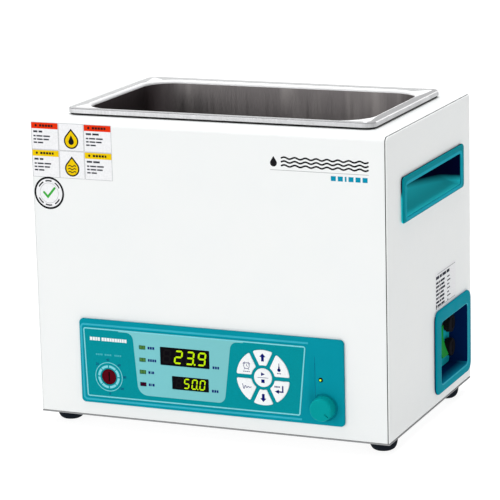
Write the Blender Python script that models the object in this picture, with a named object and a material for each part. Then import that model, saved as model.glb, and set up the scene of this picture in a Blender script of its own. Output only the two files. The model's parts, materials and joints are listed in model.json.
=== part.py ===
"""Bench water bath of about six litres: a sheet steel case round a drawn stainless tank.

The origin is the bottom centre of the whole object's box.  +X is the operator's right, +Y points
to the rear and +Z up.  Every number below is in millimetres; solid(), prisms(), tube() and
pivot_on() turn them into metres.  Distances called "depth" start at the case's front face, and
distances called "height" start at the case's underside.
"""

import math

import bmesh
import bpy
from mathutils import Matrix, Vector

MM = 0.001
SHARP_ANGLE = math.radians(35)

# ------------------------------------------------------------------ driving dimensions
CASE_WIDTH = 340.0
CASE_DEPTH = 228.0
CASE_HEIGHT = 273.0
FOOT_HEIGHT = 12.0
RIM_HEIGHT = 6.3
KNOB_REACH = 13.0           # from the case's front face to the knob's face
SCREW_REACH = 2.0           # from the case's rear face to the screw heads
SHEET = 1.2                 # sheet steel of the case
GAP = 0.3                   # air between pieces that rest on each other

HALF_WIDTH = CASE_WIDTH / 2
CASE_FRONT = (KNOB_REACH - SCREW_REACH - CASE_DEPTH) / 2
CASE_REAR = CASE_FRONT + CASE_DEPTH
CASE_BOTTOM = FOOT_HEIGHT
CASE_TOP = CASE_BOTTOM + CASE_HEIGHT
RIM_TOP = CASE_TOP + RIM_HEIGHT

# Case sheets.  The side panels are shallow pans whose lips reach inside the other sheets.
BEND_RADIUS = 5.0           # where the front sheet bends into the top
SIDE_SHEET = 1.5
SIDE_EDGE = 1.2             # rounding of a side panel's outer edge
SIDE_INNER = HALF_WIDTH - SIDE_SHEET
LIP_INSET = SHEET + GAP
LIP_REACH = 10.0
SHEET_HALF = SIDE_INNER - GAP
PANEL_BOTTOM = CASE_BOTTOM + SHEET + GAP
FLOOR_LEVEL = CASE_BOTTOM + SHEET + GAP      # inner pieces stand here
SCREW_X = SIDE_INNER - LIP_REACH / 2
REAR_SCREW_HEIGHTS = (38.0, 232.0)

# Tank.  Growth is the distance outwards from the mouth's edge.
TANK_DEPTH = 150.0
TANK_Y = CASE_FRONT + 115.75
MOUTH_HALF_X = 136.0
MOUTH_HALF_Y = 79.75
MOUTH_CORNER = 28.0
MOUTH_EDGE = 3.0            # rounding from the wall into the flange
FLANGE_SIDE = 12.0          # mouth's edge to the flange's outer edge
FLANGE_FRONT = 8.0
FLANGE_REAR = 16.0
FLANGE_CORNER = 10.0
TANK_SHEET = 1.0
TANK_TAPER = 2.0
TANK_FILLET = 12.0
LIP_BOTTOM = RIM_TOP - 4.2
TANK_FLOOR = RIM_TOP - TANK_DEPTH
TANK_BASE = TANK_FLOOR - TANK_SHEET
TOP_HOLE_GROWTH = 2.5

# Feet
FOOT_X = 154.0
FOOT_DEPTHS = (28.0, 199.0)
FOOT_BOWL = ((8.2, 0.0), (10.2, 1.4), (11.8, 4.2), (12.6, 8.0))    # radius and height
FOOT_TOP_RADIUS = 13.0

# Control panel, in x and height
BEZEL_LEFT = -127.3
BEZEL_RIGHT = 129.0
BEZEL_LOW = 13.6
BEZEL_HIGH = 92.2
BEZEL_CORNER = 4.0
BEZEL_FACE = -2.5           # depth of the moulding's face, in front of the case
BEZEL_BACK = -GAP
TRAY_INSET = 5.0
TRAY_WALL = 1.6
TRAY_BACK = 8.0
OVERLAY_CORNERS = ((-121.3, 19.5), (87.6, 20.2), (93.6, 84.2), (-123.4, 84.3))
OVERLAY_RADII = (3.0, 6.0, 3.0, 3.0)
OVERLAY_SHEET = 0.4
OVERLAY_RECESS = 0.8
WINDOW_GAP = 0.3

DISPLAYS = {
    "display_measured": ((-46.8, 55.5), (0.9, 71.8)),
    "display_set": ((-35.8, 33.7), (-0.3, 45.5)),
}
INDICATOR_X = -64.7
INDICATOR_HEIGHTS = (69.8, 58.3, 47.0, 35.5)
INDICATOR_SIZE = (5.7, 3.2)
PILOT_CENTRE = (107.3, 54.8)
PILOT_RADIUS = 1.9
DIAL_CENTRE = (-99.0, 39.3)
DIAL_RADIUS = 7.1
KNOB_CENTRE = (110.3, 30.2)
KNOB_RADIUS = 10.9

# Keypad: a round centre key in a ring of six, with parallel-sided webs between them
KEYPAD_CENTRE = (52.7, 52.2)
KEYPAD_OUTER = 25.3
KEYPAD_INNER = 11.3
KEYPAD_HALF_WEB = 1.9
CENTRE_KEY_RADIUS = 8.5
KEY_PROUD = 0.5
KEY_RETAINER = 0.6          # how far the hidden flange reaches outside the key
KEYS = {
    "key_up": (64.0, 116.0),
    "key_timer": (116.0, 180.0),
    "key_auto_tune": (180.0, 244.0),
    "key_down": (244.0, 296.0),
    "key_enter": (296.0, 360.0),
    "key_temperature": (0.0, 64.0),
}

# Display board behind the panel
BOARD_X = (-88.0, 119.0)
BOARD_HEIGHTS = (20.5, 85.5)
BOARD_FRONT = 6.0
BOARD_SHEET = 1.6
BOARD_POSTS = ((-82.0, 24.0), (-82.0, 81.0), (114.0, 81.0), (92.0, 24.0))

# Grip recesses, in depth and height
FRAME_PROUD = 2.5
GRIP_FRAME = ((34.5, 190.4), (203.0, 231.3))
GRIP_MOUTH = ((43.0, 194.5), (195.0, 223.5))
GRIP_WALL = 2.0
GRIP_SHELL_TOP = 3.0        # how far the finger pocket rises above the mouth

# Power recess on the right side, in depth and height
POWER_FRAME = ((121.0, 10.4), (222.0, 89.0))
POWER_MOUTH = ((134.8, 18.0), (213.0, 77.0))
POWER_FRAME_CORNER = 9.0
POWER_MOUTH_CORNER = 5.0
POWER_FLOOR = 153.5
POWER_WALL = 2.0
INLET_CENTRE = (154.5, 45.0)
SWITCH_CENTRE = (180.5, 45.5)
FUSE_DEPTH = 202.5
FUSE_HEIGHTS = {"upper": 59.0, "lower": 36.0}
ROCKER_AXIS_X = POWER_FLOOR + 0.5
ROCKER_TILT = 10.0


def depth(distance):
    """World y of a distance behind the case's front face."""
    return CASE_FRONT + distance


def height(distance):
    """World z of a distance above the case's underside."""
    return CASE_BOTTOM + distance


# ------------------------------------------------------------------ materials
def surface(name, colour, roughness, metallic=0.0):
    material = bpy.data.materials.new(name)
    material.use_nodes = True
    shader = material.node_tree.nodes["Principled BSDF"]
    shader.inputs["Base Color"].default_value = (*colour, 1.0)
    shader.inputs["Roughness"].default_value = roughness
    shader.inputs["Metallic"].default_value = metallic
    return material


def make_surfaces():
    return {
        "paint": surface("white_paint", (0.90, 0.91, 0.90), 0.35),
        "stainless": surface("stainless_steel", (0.62, 0.61, 0.59), 0.28, 1.0),
        "galvanised": surface("galvanised_steel", (0.55, 0.57, 0.58), 0.45, 1.0),
        "teal": surface("teal_plastic", (0.0, 0.36, 0.42), 0.4),
        "overlay": surface("printed_overlay", (0.0, 0.30, 0.33), 0.45),
        "key": surface("white_key", (0.86, 0.88, 0.88), 0.4),
        "window": surface("display_window", (0.01, 0.012, 0.01), 0.15),
        "indicator": surface("indicator_lens", (0.06, 0.16, 0.03), 0.3),
        "black": surface("black_plastic", (0.015, 0.015, 0.016), 0.4),
        "red": surface("dark_red_plastic", (0.10, 0.005, 0.01), 0.3),
        "rocker": surface("green_rocker", (0.02, 0.42, 0.10), 0.25),
        "rubber": surface("black_rubber", (0.012, 0.012, 0.013), 0.75),
        "board": surface("circuit_board", (0.02, 0.13, 0.05), 0.5),
        "felt": surface("insulation_felt", (0.62, 0.58, 0.48), 0.95),
        "heater": surface("silicone_heater", (0.38, 0.09, 0.03), 0.7),
        "copper": surface("copper_capillary", (0.60, 0.27, 0.13), 0.35, 1.0),
    }


# ------------------------------------------------------------------ outlines
def arc(centre, radius, start, end, steps):
    """Points on an arc; the angles are in degrees, anticlockwise from the first axis."""
    points = []
    for step in range(steps + 1):
        angle = math.radians(start + (end - start) * step / steps)
        points.append((centre[0] + radius * math.cos(angle), centre[1] + radius * math.sin(angle)))
    return points


def circle(centre, radius, segments):
    return arc(centre, radius, 0.0, 360.0, segments)[:-1]


def rounded_polygon(corners, radii, steps):
    """Outline whose corners are arcs tangent to the sides that meet there."""
    points = []
    for index, corner in enumerate(corners):
        here = Vector(corner)
        back = (Vector(corners[index - 1]) - here).normalized()
        ahead = (Vector(corners[(index + 1) % len(corners)]) - here).normalized()
        half = back.angle(ahead) / 2
        reach = radii[index] / math.tan(half)
        centre = here + (back + ahead).normalized() * (radii[index] / math.sin(half))
        first = here + back * reach - centre
        last = here + ahead * reach - centre
        start = math.degrees(math.atan2(first.y, first.x))
        sweep = math.degrees(math.atan2(last.y, last.x)) - start
        sweep = (sweep + 180.0) % 360.0 - 180.0
        points += arc(centre, radii[index], start, start + sweep, steps)
    return points


def rounded_rect(low, high, radius, steps):
    corners = (low, (high[0], low[1]), high, (low[0], high[1]))
    return rounded_polygon(corners, [radius] * 4, steps)


def grown(box, amount):
    """A (low, high) rectangle pushed outwards on every side."""
    low, high = box
    return (low[0] - amount, low[1] - amount), (high[0] + amount, high[1] + amount)


def on_panel(points):
    """Panel points in x and height, as world x and z."""
    return [(x, height(z)) for x, z in points]


def on_side(points):
    """Side points in depth and height, as world y and z."""
    return [(depth(y), height(z)) for y, z in points]


# ------------------------------------------------------------------ solids
def ring(axis, outline, level):
    """An outline placed square to an axis at a level along it."""
    if axis == "X":
        return [(level, u, v) for u, v in outline]
    if axis == "Y":
        return [(u, level, v) for u, v in outline]
    return [(u, v, level) for u, v in outline]


def add_body(bm, rings, closed):
    """Skins a row of equal rings; the row is capped at both ends or closed on itself."""
    loops = [[bm.verts.new(Vector(point) * MM) for point in points] for points in rings]
    pairs = list(zip(loops, loops[1:]))
    if closed:
        pairs.append((loops[-1], loops[0]))
    else:
        bm.faces.new(loops[0])
        bm.faces.new(loops[-1])
    for first, second in pairs:
        for index in range(len(first)):
            after = (index + 1) % len(first)
            bm.faces.new((first[index], first[after], second[after], second[index]))


def make_object(name, bm, material):
    bmesh.ops.recalc_face_normals(bm, faces=bm.faces)
    mesh = bpy.data.meshes.new(name)
    bm.to_mesh(mesh)
    bm.free()
    if material:
        mesh.materials.append(material)
    mesh.shade_smooth()
    mesh.set_sharp_from_angle(angle=SHARP_ANGLE)
    made = bpy.data.objects.new(name, mesh)
    bpy.context.collection.objects.link(made)
    return made


def solid(name, rings, material=None, closed=False):
    bm = bmesh.new()
    add_body(bm, rings, closed)
    return make_object(name, bm, material)


def prisms(name, axis, outlines, low, high, material=None):
    """One straight prism for each outline, all in one object; several only make a cutter."""
    bm = bmesh.new()
    for outline in outlines:
        add_body(bm, [ring(axis, outline, low), ring(axis, outline, high)], False)
    return make_object(name, bm, material)


def box(name, low, high, material=None):
    outline = ((low[0], low[1]), (high[0], low[1]), (high[0], high[1]), (low[0], high[1]))
    return prisms(name, "Z", [outline], low[2], high[2], material)


def turned(name, axis, centre, profile, segments, material=None, closed=False):
    """Turned body; the profile holds (radius, level) pairs from one end of the skin to the other."""
    rings = [ring(axis, circle(centre, radius, segments), level) for radius, level in profile]
    return solid(name, rings, material, closed)


def combine(target, other, operation):
    other.hide_render = True
    other.display_type = "WIRE"
    modifier = target.modifiers.new(other.name, "BOOLEAN")
    modifier.operation = operation
    modifier.object = other


def cut(target, cutter):
    combine(target, cutter, "DIFFERENCE")


def join(target, piece):
    combine(target, piece, "UNION")


def pivot_on(moving, point):
    """Puts a moving piece's origin on its joint's axis and leaves its shape where it is."""
    offset = Vector(point) * MM
    moving.data.transform(Matrix.Translation(-offset))
    moving.location = offset


def smooth_route(route, per_span):
    """Points on a smooth curve through (x, y, z, radius) stations."""
    padded = [route[0], *route, route[-1]]
    points = []
    for index in range(len(route) - 1):
        before, start, end, after = (Vector(station) for station in padded[index:index + 4])
        for step in range(per_span):
            t = step / per_span
            bend = 2 * before - 5 * start + 4 * end - after
            twist = 3 * start - before - 3 * end + after
            points.append((2 * start + (end - before) * t + bend * t ** 2 + twist * t ** 3) / 2)
    points.append(Vector(route[-1]))
    return points


def tube(name, route, per_span, material):
    """Round rod or wire through (x, y, z, radius) stations."""
    curve = bpy.data.curves.new(name, "CURVE")
    curve.dimensions = "3D"
    curve.bevel_depth = MM
    curve.bevel_resolution = 2
    curve.use_fill_caps = True
    points = smooth_route(route, per_span)
    spline = curve.splines.new("POLY")
    spline.points.add(len(points) - 1)
    for point, place in zip(spline.points, points):
        point.co = (place[0] * MM, place[1] * MM, place[2] * MM, 1.0)
        point.radius = place[3]
    curve.materials.append(material)
    made = bpy.data.objects.new(name, curve)
    bpy.context.collection.objects.link(made)
    return made


# ------------------------------------------------------------------ case
def make_base_plate(surfaces):
    """Bottom sheet with an upturned flange along the front and the rear, and air slots."""
    inset = 0.4
    flange_inset = SHEET + GAP
    flange_height = 12.0
    low, high = CASE_FRONT + inset, CASE_REAR - inset
    inner_low, inner_high = CASE_FRONT + flange_inset, CASE_REAR - flange_inset
    top = CASE_BOTTOM + SHEET
    flange_top = CASE_BOTTOM + flange_height
    profile = (
        (low, CASE_BOTTOM), (high, CASE_BOTTOM), (high, top), (inner_high, top),
        (inner_high, flange_top), (inner_high - SHEET, flange_top), (inner_high - SHEET, top),
        (inner_low + SHEET, top), (inner_low + SHEET, flange_top), (inner_low, flange_top),
        (inner_low, top), (low, top),
    )
    plate = prisms("base_plate", "X", [profile], inset - HALF_WIDTH, HALF_WIDTH - inset,
                   surfaces["paint"])
    corner_reach = 15.0
    clearances = []
    for side in (-1, 1):
        inner = side * (HALF_WIDTH - corner_reach)
        outer = side * (HALF_WIDTH + corner_reach)
        corners = ((inner, CASE_FRONT - 1), (outer, CASE_FRONT - 1), (outer, CASE_REAR + 1),
                   (inner, CASE_REAR + 1))
        clearances.append(corners)
    cut(plate, prisms("base_corners", "Z", clearances, top, flange_top + 1))
    openings = [circle((side * FOOT_X, depth(place)), 2.5, 12)
                for side in (-1, 1) for place in FOOT_DEPTHS]
    slot_length, slot_width, slot_pitch = 44.0, 4.0, 11.0
    for side in (-1, 1):
        for row in range(5):
            centre = (side * 62.0, depth(92.0 + row * slot_pitch))
            low_corner = (centre[0] - slot_length / 2, centre[1] - slot_width / 2)
            high_corner = (centre[0] + slot_length / 2, centre[1] + slot_width / 2)
            openings.append(rounded_rect(low_corner, high_corner, slot_width * 0.49, 3))
    cut(plate, prisms("base_openings", "Z", openings, CASE_BOTTOM - 2, top + 2))


def make_front_top_shell(surfaces):
    """One sheet that is the front and, past a rounded bend, the top."""
    centre = (CASE_FRONT + BEND_RADIUS, CASE_TOP - BEND_RADIUS)
    profile = [(CASE_FRONT, PANEL_BOTTOM)]
    profile += arc(centre, BEND_RADIUS, 180.0, 90.0, 5)
    profile += [(CASE_REAR, CASE_TOP), (CASE_REAR, CASE_TOP - SHEET)]
    profile += arc(centre, BEND_RADIUS - SHEET, 90.0, 180.0, 5)
    profile.append((CASE_FRONT + SHEET, PANEL_BOTTOM))
    shell = prisms("front_top_shell", "X", [profile], -SHEET_HALF, SHEET_HALF, surfaces["paint"])
    tank_hole = tank_outline(TOP_HOLE_GROWTH, MOUTH_CORNER)
    cut(shell, prisms("tank_hole", "Z", [tank_hole], CASE_TOP - 4, CASE_TOP + 4))
    panel_hole = bezel_outline(TRAY_INSET - 0.5)
    cut(shell, prisms("panel_hole", "Y", [panel_hole], CASE_FRONT - 4, CASE_FRONT + 4))


def make_rear_panel(surfaces):
    low = (-SHEET_HALF, CASE_REAR - SHEET, PANEL_BOTTOM)
    high = (SHEET_HALF, CASE_REAR, CASE_TOP - SHEET - GAP)
    panel = box("rear_panel", low, high, surfaces["paint"])
    openings = []
    slot_length, slot_width, slot_pitch = 70.0, 4.0, 12.0
    for side in (-1, 1):
        for row in range(6):
            low_corner = (side * 75.0 - slot_length / 2, height(30.0 + row * slot_pitch))
            high_corner = (low_corner[0] + slot_length, low_corner[1] + slot_width)
            openings.append(rounded_rect(low_corner, high_corner, slot_width * 0.49, 3))
    openings += rear_screw_holes()
    cut(panel, prisms("rear_openings", "Y", openings, CASE_REAR - 3, CASE_REAR + 2))


def rear_screw_holes():
    return [circle((side * SCREW_X, height(place)), 1.9, 10)
            for side in (-1, 1) for place in REAR_SCREW_HEIGHTS]


def make_rear_screws(surfaces):
    """Pan-head screws through the rear panel into the side panels' lips."""
    for side, side_name in ((-1, "left"), (1, "right")):
        for place, row_name in zip(REAR_SCREW_HEIGHTS, ("lower", "upper")):
            profile = ((1.5, CASE_REAR - 8.0), (1.5, CASE_REAR + GAP), (3.4, CASE_REAR + GAP),
                       (3.0, CASE_REAR + 1.4), (1.8, CASE_REAR + SCREW_REACH))
            turned("rear_screw_%s_%s" % (row_name, side_name), "Y", (side * SCREW_X, height(place)),
                   profile, 12, surfaces["galvanised"])


def side_outline(inset):
    """A side panel's outline, rounded where the front sheet bends into the top."""
    low = (CASE_FRONT + inset, PANEL_BOTTOM + inset)
    high = (CASE_REAR - inset, CASE_TOP - inset)
    corners = (low, (high[0], low[1]), high, (low[0], high[1]))
    radii = [max(radius - inset, 0.3) for radius in (1.0, 1.0, 1.5, BEND_RADIUS)]
    return rounded_polygon(corners, radii, 4)


def make_side_panel(name, side, surfaces):
    """Pan-shaped side sheet with rounded outer edges and a lip that reaches inside the case."""
    stations = (
        (HALF_WIDTH, SIDE_EDGE), (HALF_WIDTH - 0.35 * SIDE_EDGE, 0.35 * SIDE_EDGE),
        (HALF_WIDTH - SIDE_EDGE, 0.0), (SIDE_INNER, 0.0), (SIDE_INNER, LIP_INSET),
        (SIDE_INNER - LIP_REACH, LIP_INSET), (SIDE_INNER - LIP_REACH, LIP_INSET + SHEET),
        (SIDE_INNER, LIP_INSET + SHEET),
    )
    rings = [ring("X", side_outline(inset), side * level) for level, inset in stations]
    panel = solid(name, rings, surfaces["paint"])
    low, high = GRIP_MOUTH
    grip_hole = ((low[0] - 3.0, low[1] - 2.6), (high[0] + 3.0, high[1] + GRIP_SHELL_TOP + 2.4))
    holes = [on_side(rounded_rect(*grip_hole, 3.0, 3))]
    if side > 0:
        holes.append(on_side(rounded_rect(*grown(POWER_MOUTH, 3.0), POWER_MOUTH_CORNER, 3)))
    levels = sorted((side * (SIDE_INNER - 2.0), side * (HALF_WIDTH + 2.0)))
    cut(panel, prisms(name + "_holes", "X", holes, *levels))
    cut(panel, prisms(name + "_screw_holes", "Y", rear_screw_holes(), CASE_REAR - 4, CASE_REAR - 1))


def make_grip_recess(name, side, surfaces):
    """Moulded finger grip: a proud frame, a mouth, and a floor that curves up to a deep pocket."""
    low, high = GRIP_MOUTH
    face = HALF_WIDTH + FRAME_PROUD
    pocket = (
        (face - 0.8, 0.0, 0.0, 0.0),
        (face - 6.5, 1.0, 1.0, 1.0),
        (face - 14.5, 3.0, 4.5, 2.5),
        (face - 21.5, 6.0, 10.5, GRIP_SHELL_TOP),
        (face - 26.0, 10.0, 18.0, 2.5),
    )

    def pocket_ring(station, wall, back):
        level, end_inset, floor_rise, top_rise = station
        mouth = ((low[0] + end_inset - wall, low[1] + floor_rise - wall),
                 (high[0] - end_inset + wall, high[1] + top_rise + wall))
        return ring("X", on_side(rounded_rect(*mouth, 3.0 + wall * 0.5, 3)), side * (level - back))

    rings = [pocket_ring(pocket[-1], GRIP_WALL, GRIP_WALL)]
    for station in reversed(pocket[1:-1]):
        rings.append(pocket_ring(station, GRIP_WALL, 0.0))
    rings.append(pocket_ring((HALF_WIDTH + GAP, 0.0, 0.0, 1.0), GRIP_WALL, 0.0))
    frame = on_side(rounded_rect(*GRIP_FRAME, 4.0, 3))
    rings.append(ring("X", frame, side * (HALF_WIDTH + GAP)))
    rings.append(ring("X", frame, side * (face - 1.0)))
    rings.append(ring("X", on_side(rounded_rect(*grown(GRIP_FRAME, -1.0), 3.0, 3)), side * face))
    rings.append(ring("X", on_side(rounded_rect(*grown(GRIP_MOUTH, 0.8), 3.4, 3)), side * face))
    for station in pocket:
        rings.append(pocket_ring(station, 0.0, 0.0))
    solid(name, rings, surfaces["teal"])


def make_feet(surfaces):
    """Bowl-shaped rubber feet, each on a screw through the base plate."""
    screw_seat = 6.0
    for side, side_name in ((-1, "left"), (1, "right")):
        for place, row_name in zip(FOOT_DEPTHS, ("front", "rear")):
            centre = (side * FOOT_X, depth(place))
            rubber = FOOT_BOWL + (
                (FOOT_TOP_RADIUS, FOOT_HEIGHT - GAP), (2.4, FOOT_HEIGHT - GAP), (2.4, screw_seat),
                (4.6, screw_seat), (4.6, 0.0))
            turned("foot_%s_%s" % (row_name, side_name), "Z", centre, rubber, 16,
                   surfaces["rubber"], closed=True)
            head_top = screw_seat - GAP
            steel = ((4.0, head_top - 2.4), (4.0, head_top), (2.0, head_top),
                     (2.0, CASE_BOTTOM + SHEET + 5.0))
            turned("foot_screw_%s_%s" % (row_name, side_name), "Z", centre, steel, 12,
                   surfaces["galvanised"])


# ------------------------------------------------------------------ tank and heating
def tank_outline(growth, corner):
    low = (-MOUTH_HALF_X - growth, TANK_Y - MOUTH_HALF_Y - growth)
    high = (MOUTH_HALF_X + growth, TANK_Y + MOUTH_HALF_Y + growth)
    return rounded_rect(low, high, corner, 6)


def flange_outline(inset):
    """The flange is narrower in front of the mouth than behind it."""
    low = (inset - MOUTH_HALF_X - FLANGE_SIDE, TANK_Y - MOUTH_HALF_Y - FLANGE_FRONT + inset)
    high = (MOUTH_HALF_X + FLANGE_SIDE - inset, TANK_Y + MOUTH_HALF_Y + FLANGE_REAR - inset)
    return rounded_rect(low, high, FLANGE_CORNER - inset, 6)


def tank_wall(offset):
    """Rings up the tank's wall, from the floor to the flange, at an offset outside its inner face."""
    stations = []
    floor_radius = TANK_FILLET + offset
    for step in range(4):
        angle = math.radians(30.0 * step)
        growth = floor_radius * math.sin(angle) - TANK_TAPER - TANK_FILLET
        stations.append((growth, TANK_FLOOR + TANK_FILLET - floor_radius * math.cos(angle)))
    edge_radius = MOUTH_EDGE - offset
    for step in range(4):
        angle = math.radians(30.0 * step)
        growth = MOUTH_EDGE - edge_radius * math.cos(angle)
        stations.append((growth, RIM_TOP - MOUTH_EDGE + edge_radius * math.sin(angle)))
    return [ring("Z", tank_outline(growth, MOUTH_CORNER + growth), z) for growth, z in stations]


def make_tank(surfaces):
    """Drawn tank whose flange turns down into a lip round the hole in the case's top."""
    rings = tank_wall(0.0)
    for inset, z in ((1.0, RIM_TOP), (0.3, RIM_TOP - 0.3), (0.0, RIM_TOP - 1.0), (0.0, LIP_BOTTOM),
                     (TANK_SHEET, LIP_BOTTOM), (TANK_SHEET, RIM_TOP - TANK_SHEET)):
        rings.append(ring("Z", flange_outline(inset), z))
    rings += reversed(tank_wall(TANK_SHEET))
    solid("tank", rings, surfaces["stainless"])


def tank_band(name, inner, outer, low, high, material):
    """Band round the tank between two outlines."""
    rings = [ring("Z", inner, low), ring("Z", inner, high), ring("Z", outer, high),
             ring("Z", outer, low)]
    solid(name, rings, material, closed=True)


def make_tank_seals(surfaces):
    tank_band("rim_gasket", flange_outline(4.4), flange_outline(0.4), CASE_TOP + GAP,
              LIP_BOTTOM - GAP, surfaces["rubber"])
    felt_inner = TANK_SHEET + 0.5
    felt_outer = felt_inner + 7.0
    tank_band("tank_insulation", tank_outline(felt_inner, MOUTH_CORNER + felt_inner),
              tank_outline(felt_outer, MOUTH_CORNER + felt_outer), TANK_FLOOR + 3.0,
              CASE_TOP - 5.0, surfaces["felt"])


def make_heater(surfaces):
    """Flat heater under the tank, pressed up by a hat-shaped bracket that stands on the base."""
    half_x, half_y, thickness = 104.0, 56.0, 3.0
    pad_top = TANK_BASE - GAP
    pad = rounded_rect((-half_x, TANK_Y - half_y), (half_x, TANK_Y + half_y), 8.0, 4)
    prisms("heater_pad", "Z", [pad], pad_top - thickness, pad_top, surfaces["heater"])
    top = pad_top - thickness - GAP
    foot_reach = half_x + 14.0
    profile = (
        (-foot_reach, FLOOR_LEVEL), (-half_x, FLOOR_LEVEL), (-half_x, top - SHEET),
        (half_x, top - SHEET), (half_x, FLOOR_LEVEL), (foot_reach, FLOOR_LEVEL),
        (foot_reach, FLOOR_LEVEL + SHEET), (half_x + SHEET, FLOOR_LEVEL + SHEET),
        (half_x + SHEET, top), (-half_x - SHEET, top), (-half_x - SHEET, FLOOR_LEVEL + SHEET),
        (-foot_reach, FLOOR_LEVEL + SHEET),
    )
    prisms("heater_bracket", "Y", [profile], TANK_Y - half_y, TANK_Y + half_y,
           surfaces["galvanised"])


def make_sensors(surfaces):
    """Probe and capillary bulb lie against the tank's underside, beside the heater."""
    beside = 113.0
    bulb_radius, probe_radius = 3.0, 2.5
    bulb_z = TANK_BASE - GAP - bulb_radius
    dial_x, dial_height = DIAL_CENTRE
    bulb_route = (
        (dial_x, depth(36.0), height(dial_height), 0.8),
        (dial_x, depth(42.0), height(dial_height + 1.0), 0.8),
        (-beside, depth(50.0), height(75.0), 0.8),
        (-beside, depth(58.0), bulb_z - 6.0, 0.8),
        (-beside, depth(72.0), bulb_z, 0.8),
        (-beside, depth(75.0), bulb_z, bulb_radius),
        (-beside, depth(115.0), bulb_z, bulb_radius),
        (-beside, depth(155.0), bulb_z, bulb_radius),
    )
    tube("limit_bulb", bulb_route, 4, surfaces["copper"])
    probe_z = TANK_BASE - GAP - probe_radius
    probe_route = (
        (beside, depth(150.0), probe_z, probe_radius),
        (beside, depth(125.0), probe_z, probe_radius),
        (beside, depth(100.0), probe_z, probe_radius),
        (beside, depth(97.0), probe_z, 1.0),
        (beside, depth(82.0), probe_z - 5.0, 1.0),
        (beside, depth(66.0), height(80.0), 1.0),
        (90.0, depth(50.0), height(40.0), 1.0),
        (20.0, depth(48.0), height(22.0), 1.0),
        (-30.0, depth(56.0), height(14.0), 1.0),
        (-40.0, depth(73.0), height(11.0), 1.0),
    )
    tube("temperature_probe", probe_route, 4, surfaces["stainless"])


# ------------------------------------------------------------------ control panel
def bezel_outline(inset):
    low = (BEZEL_LEFT + inset, BEZEL_LOW + inset)
    high = (BEZEL_RIGHT - inset, BEZEL_HIGH - inset)
    return on_panel(rounded_rect(low, high, max(BEZEL_CORNER - inset, 1.5), 4))


def key_outline(span, growth):
    """Keypad sector between two webs; growth pushes all of its sides outwards."""
    outer = KEYPAD_OUTER + growth
    inner = KEYPAD_INNER - growth
    half_web = KEYPAD_HALF_WEB - growth
    outer_lean = math.degrees(math.asin(half_web / outer))
    inner_lean = math.degrees(math.asin(half_web / inner))
    start, end = span
    points = arc(KEYPAD_CENTRE, outer, start + outer_lean, end - outer_lean, 7)
    points += arc(KEYPAD_CENTRE, inner, end - inner_lean, start + inner_lean, 4)
    return on_panel(points)


def centre_key_outline(growth):
    return on_panel(circle(KEYPAD_CENTRE, CENTRE_KEY_RADIUS + growth, 24))


def indicator_outline(centre_height, growth):
    half_x = INDICATOR_SIZE[0] / 2 + growth
    half_z = INDICATOR_SIZE[1] / 2 + growth
    low = (INDICATOR_X - half_x, centre_height - half_z)
    high = (INDICATOR_X + half_x, centre_height + half_z)
    return on_panel((low, (high[0], low[1]), high, (low[0], high[1])))


def overlay_openings():
    """Openings that the printed overlay and the moulding behind it share."""
    openings = [key_outline(span, WINDOW_GAP) for span in KEYS.values()]
    openings.append(centre_key_outline(WINDOW_GAP))
    openings += [indicator_outline(place, WINDOW_GAP) for place in INDICATOR_HEIGHTS]
    for window in DISPLAYS.values():
        openings.append(on_panel(rounded_rect(*grown(window, WINDOW_GAP), 0.8, 2)))
    openings.append(on_panel(circle(DIAL_CENTRE, DIAL_RADIUS + 0.35, 24)))
    return openings


def overlay_outline(growth):
    middle = Vector((-17.0, 52.0))
    corners = []
    for corner in OVERLAY_CORNERS:
        away = Vector(corner) - middle
        corners.append((corner[0] + math.copysign(growth, away.x),
                        corner[1] + math.copysign(growth, away.y)))
    return on_panel(rounded_polygon(corners, OVERLAY_RADII, 4))


def make_bezel(surfaces):
    """Panel moulding: a proud plate with a tray behind it that passes through the front sheet."""
    stations = (
        (BEZEL_FACE, 0.8), (BEZEL_FACE + 0.3, 0.25), (BEZEL_FACE + 0.8, 0.0), (BEZEL_BACK, 0.0),
        (BEZEL_BACK, TRAY_INSET), (TRAY_BACK, TRAY_INSET), (TRAY_BACK, TRAY_INSET + TRAY_WALL),
        (BEZEL_BACK, TRAY_INSET + TRAY_WALL),
    )
    rings = [ring("Y", bezel_outline(inset), depth(level)) for level, inset in stations]
    bezel = solid("bezel", rings, surfaces["teal"])
    posts = [on_panel(circle(post, 2.5, 10)) for post in BOARD_POSTS]
    for number, post in enumerate(posts):
        join(bezel, prisms("board_post_%d" % number, "Y", [post], depth(-1.0),
                           depth(BOARD_FRONT - GAP)))
    recess = overlay_outline(GAP)
    cut(bezel, prisms("overlay_recess", "Y", [recess], depth(BEZEL_FACE - 2.0),
                      depth(BEZEL_FACE + OVERLAY_RECESS)))
    openings = overlay_openings()
    openings.append(on_panel(circle(PILOT_CENTRE, PILOT_RADIUS + WINDOW_GAP, 14)))
    openings.append(on_panel(circle(KNOB_CENTRE, 4.6, 18)))
    cut(bezel, prisms("bezel_openings", "Y", openings, depth(BEZEL_FACE - 3.0), depth(1.0)))


def make_overlay(surfaces):
    front = BEZEL_FACE + 0.1
    overlay = prisms("overlay", "Y", [overlay_outline(0.0)], depth(front),
                     depth(front + OVERLAY_SHEET), surfaces["overlay"])
    cut(overlay, prisms("overlay_openings", "Y", overlay_openings(), depth(front - 2.0),
                        depth(front + 2.0)))


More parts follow.
